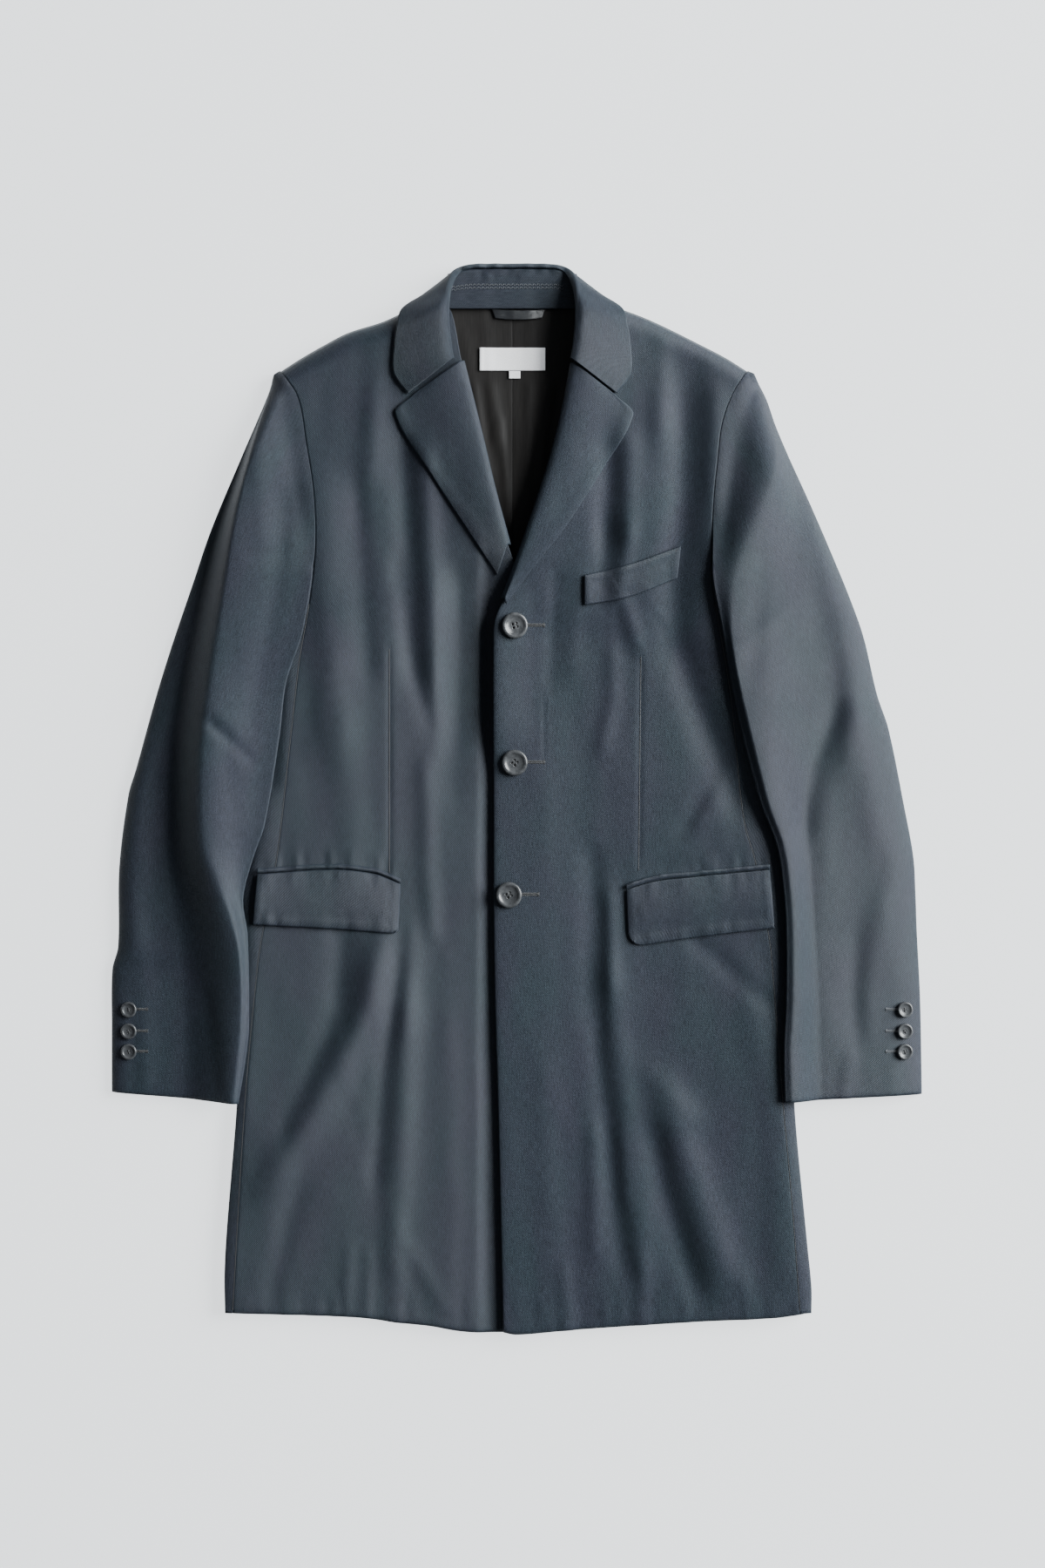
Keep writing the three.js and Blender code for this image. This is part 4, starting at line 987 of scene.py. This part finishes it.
def button_points(radius, height, turn):
    """Rings of points from the middle of a button's dish to its back, with four holes sunk in the dish."""
    holes = [turn + math.pi / 4 + k * math.pi / 2 for k in range(4)]
    holes = [(HOLE_SPREAD * math.cos(h), HOLE_SPREAD * math.sin(h)) for h in holes]
    points = []
    outline = [(r, BUTTON_DISH) for r in np.linspace(0.02, 0.4, 14)] + BUTTON_RIM
    for share, level in outline:
        for k in range(BUTTON_SIDES):
            angle = 2 * math.pi * k / BUTTON_SIDES
            px, py = share * math.cos(angle), share * math.sin(angle)
            near = min(math.hypot(px - hx, py - hy) for hx, hy in holes)
            pit = HOLE_DEPTH * float(smooth(HOLE_SHARE, HOLE_SHARE * 0.6, near)) if share < 0.45 else 0
            points.append((px * radius, py * radius, (level - pit) * height))
    return points + [(0, 0, BUTTON_DISH * height), (0, 0, 0)]


def button_faces(rings):
    count = BUTTON_SIDES
    faces = []
    for i in range(rings - 1):
        for k in range(count):
            after = (k + 1) % count
            faces.append((i * count + k, (i + 1) * count + k, (i + 1) * count + after, i * count + after))
    for k in range(count):
        after = (k + 1) % count
        faces.append((rings * count, k, after))
        faces.append((rings * count + 1, (rings - 1) * count + after, (rings - 1) * count + k))
    return faces


def button_threads(reach, height, turn):
    """Two pairs of threads between the holes of a button."""
    threads = []
    for sign in (-1, 1):
        for spread in (-0.25, 0.25):
            off = reach * 0.7 * sign + spread
            ends = [(-reach * 0.75, 0.5 * height), (0, 0.76 * height), (reach * 0.75, 0.5 * height)]
            threads.append([Vector((along * math.cos(turn) - off * math.sin(turn),
                                    along * math.sin(turn) + off * math.cos(turn), z)) for along, z in ends])
    return threads


def button(name, node, x, y, top, diameter, height, turn):
    """A four-hole button with a polished rim and a dished face. Returns its sewing threads."""
    radius = diameter / 2
    place, tilt = seat(top, x, y, radius)
    place.z += BUTTON_GAP
    points = button_points(radius, height, turn)
    faces = button_faces(len(points) // BUTTON_SIDES)
    disc = mesh_object(name, [place + tilt @ Vector(p) for p in points], faces, HORN)
    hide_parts(node)
    threads = button_threads(HOLE_SPREAD * radius, height, turn)
    return [[place + tilt @ p for p in thread] for thread in threads]


def strand_mesh(name, strands, radius, material, sides=6):
    """Many short threads, each along a few points, joined into one mesh."""
    vertices, faces = [], []
    for points in strands:
        base = len(vertices)
        count = len(points)
        for k, p in enumerate(points):
            ahead = (points[min(k + 1, count - 1)] - points[max(k - 1, 0)]).normalized()
            side = ahead.cross(Vector((0, 0, 1)))
            side = side.normalized() if side.length > 1e-6 else Vector((1, 0, 0))
            up = side.cross(ahead)
            for s in range(sides):
                a = 2 * math.pi * s / sides
                vertices.append(p + (side * math.cos(a) + up * math.sin(a)) * radius)
        for k in range(count - 1):
            for s in range(sides):
                t = (s + 1) % sides
                faces.append((base + k * sides + s, base + k * sides + t, base + (k + 1) * sides + t,
                              base + (k + 1) * sides + s))
        faces.append(tuple(base + s for s in reversed(range(sides))))
        faces.append(tuple(base + (count - 1) * sides + s for s in range(sides)))
    return mesh_object(name, vertices, faces, material)


STITCH = 0.55  # from one thread of a buttonhole to the next


def buttonhole(x, y, length, width, angle, top):
    """Threads of a worked buttonhole: close stitches round a slit, with a bar at its far end."""
    strands = []
    along = Vector((math.cos(angle), math.sin(angle), 0))
    across = Vector((-math.sin(angle), math.cos(angle), 0))
    on_cloth = lambda p, up: Vector((p.x, p.y, float(top(p.x, p.y)) + up))
    for k in range(int(length / STITCH)):
        middle = Vector((x, y, 0)) + along * (k * STITCH)
        for sign in (-1, 1):
            places = [middle + across * sign * off for off in (0.15, width / 4, width / 2)]
            strands.append([on_cloth(p, up) for p, up in zip(places, (0.15, 0.55, -0.1))])
    for k in range(3):
        middle = Vector((x, y, 0)) + along * (length + k * 0.5)
        ends = [middle - across * width * 0.75, middle, middle + across * width * 0.75]
        strands.append([on_cloth(p, up) for p, up in zip(ends, (0, 0.6, 0))])
    return strands


# Diameters and heights of the buttons, then their places and how far each is turned
FRONT_BUTTON = (23, 3.6)
CUFF_BUTTON = (14, 2.8)
FRONT_BUTTONS = [(-2, 151, 0.3), (-2, 31, 0.9), (-7, -85, 0.5)]
CUFF_BUTTON_X = 341
CUFF_BUTTONS = [(-186, 0.2), (-205, 0.7), (-223, 0.4)]


def fastenings():
    """All buttons, with their threads and buttonholes."""
    threads, dark_holes, pale_holes = [], [], []
    for k, (x, y, turn) in enumerate(FRONT_BUTTONS):
        name = f"front_button_{k + 1}"
        threads += button("horn_" + name, name, x, y, on_front("left"), *FRONT_BUTTON, turn)
        dark_holes += buttonhole(x + 9.5, y + 0.5, 16, 2.6, 0, on_front("left"))
    for side, sign in SIGN.items():
        cloth, toward_body = on_sleeve(side), math.pi if sign > 0 else 0
        for k, (y, turn) in enumerate(CUFF_BUTTONS):
            name = f"cuff_button_{side}_{k + 1}"
            threads += button("horn_" + name, name, sign * CUFF_BUTTON_X, y, cloth, *CUFF_BUTTON, turn)
            hole = buttonhole(sign * (CUFF_BUTTON_X - 5.5), y + 0.3, 10, 1.8, toward_body, cloth)
            if side == "left":
                pale_holes += hole
            else:
                dark_holes += hole
    strand_mesh("button_threads", threads, 0.28, DARK_THREAD_AND_SEAM_SHADE)
    strand_mesh("buttonholes_dark", dark_holes, 0.3, DARK_THREAD_AND_SEAM_SHADE)
    strand_mesh("buttonholes_pale", pale_holes, 0.26, PALE_THREAD)


def stand_stitches():
    """Two zigzag rows of small stitches along the collar stand."""
    strands = []
    for row in (0.52, 0.6):
        for k, dx in enumerate(np.arange(-STAND_HALF + 3, STAND_HALF - 12, 1.9)):
            x, y, z = stand_points(np.float64(dx), np.float64(row))
            x, y, z = float(x), float(y), float(stand_height(x, y, z, row)) + CLOTH
            slant = 0.8 if k % 2 else -0.8
            strands.append([Vector((x - 0.6, y - slant, z + 0.1)), Vector((x, y, z + 0.35)),
                            Vector((x + 0.6, y + slant, z + 0.1))])
    strand_mesh("collar_stitches", strands, 0.22, PALE_THREAD)


def painted_seam_shadows():
    """Dark strands along the darts and side seams: painted shadow that stands for the shade in the seams'
    grooves.
    """
    share = steps(90)
    lines = []
    for side in SIGN:
        (x0, y0), (x1, y1) = DARTS[side]
        dart = [(mix(x0, x1, t), mix(y0, y1, t)) for t in share]
        seam = [(float(through(SIDE_SEAM[side], y)), y) for y in mix(UNDERARM_Y - 20, -450, share)]
        for line, lift in ((dart, 0.05), (seam, -0.1)):
            lines.append([Vector((x, y, float(front_top(x, y, side)) + lift)) for x, y in line])
    # Painted shadow: dark strands laid where the shade of the seams falls
    strand_mesh("painted_seam_shadows", lines, 0.32, DARK_THREAD_AND_SEAM_SHADE)


def make_coat():
    for side in SIGN:
        cut_piece(front(side), f"front_{side}")
        cut_piece(side_body(side), f"side_body_{side}")
        cut_piece(back(side), f"back_{side}")
        top, under = sleeve(side)
        cut_piece(top, f"sleeve_{side}_top")
        cut_piece(under, f"sleeve_{side}_under")
        cut_piece(lapel(side), f"lapel_{side}")
        cut_piece(pocket_flap(side), f"pocket_flap_{side}")
        cut_piece(pocket_jet(side), f"pocket_jet_{side}")
        cut_piece(lining(side), f"lining_back_{side}")
    cut_piece(collar(), "collar")
    cut_piece(collar_stand(), "collar_stand")
    cut_piece(breast_welt(), "breast_welt")
    cut_piece(label(), "label")
    cut_piece(size_tab(), "size_tab")
    cut_piece(hanger_loop(), "hanger_loop")
    fastenings()
    stand_stitches()
    painted_seam_shadows()


# Floor, camera and lights

PHOTO_SIZE = (1200, 1800)
MM_PER_PIXEL = 0.77
VIEW_CENTRE = (5.0, 12.3)
CAMERA_HEIGHT = 2.2
SENSOR = 36
FLOOR_SIZE = 9
FLOOR_DROP = 0.0006
FLOOR_GLOW = 1.65


def floor():
    """A bare pale surface, bright enough that it shows next to no shadow."""
    bpy.ops.mesh.primitive_plane_add(size=FLOOR_SIZE, location=(0, 0, -FLOOR_DROP))
    plane = bpy.context.object
    plane.name = "floor"
    material, tree, bsdf = node_material("pale_floor")
    coordinates = tree.nodes.new("ShaderNodeTexCoord").outputs["Object"]
    clouds = noise(tree, coordinates, 1.3, 2)
    colour = ramp(tree, clouds, [(0.35, (0.216, 0.22, 0.224)), (0.65, (0.22, 0.224, 0.228))])
    link(tree, colour, bsdf.inputs["Base Color"])
    settings(bsdf, {"Roughness": 0.9, "Emission Color": (0.93, 0.97, 1, 1), "Emission Strength": FLOOR_GLOW})
    plane.data.materials.append(material)


def camera():
    data = bpy.data.cameras.new("camera")
    data.sensor_width = SENSOR
    data.lens = SENSOR * CAMERA_HEIGHT / (PHOTO_SIZE[1] * MM_PER_PIXEL * MM)
    obj = bpy.data.objects.new("camera", data)
    obj.location = (VIEW_CENTRE[0] * MM, VIEW_CENTRE[1] * MM, CAMERA_HEIGHT)
    bpy.context.scene.collection.objects.link(obj)
    bpy.context.scene.camera = obj


# The window's angles in degrees, its distance and width in metres, and its light on a face turned to it
WINDOW_AZIMUTH = 18
WINDOW_HEIGHT = 28
WINDOW_DISTANCE = 5
WINDOW_SIZE = 4.0
WINDOW_LIGHT = 18.5
ROOM_LIGHT = 0.22


def lights():
    """A window on the right, low over the floor, and a faint even light from the room."""
    window = bpy.data.lights.new("window", "AREA")
    window.shape = "DISK"
    window.size = WINDOW_SIZE
    window.energy = WINDOW_LIGHT * math.pi * WINDOW_DISTANCE ** 2
    window.color = (0.95, 0.99, 1.0)
    obj = bpy.data.objects.new("window", window)
    azimuth, height = math.radians(WINDOW_AZIMUTH), math.radians(WINDOW_HEIGHT)
    level = math.cos(height)
    toward = Vector((math.cos(azimuth) * level, math.sin(azimuth) * level, math.sin(height)))
    obj.location = toward * WINDOW_DISTANCE
    obj.rotation_euler = toward.to_track_quat("Z", "Y").to_euler()
    bpy.context.scene.collection.objects.link(obj)
    world = bpy.data.worlds.new("room")
    world.use_nodes = True
    background = world.node_tree.nodes["Background"]
    background.inputs["Color"].default_value = (0.86, 0.92, 1.0, 1)
    background.inputs["Strength"].default_value = ROOM_LIGHT
    bpy.context.scene.world = world


camera()
make_coat()
floor()
lights()
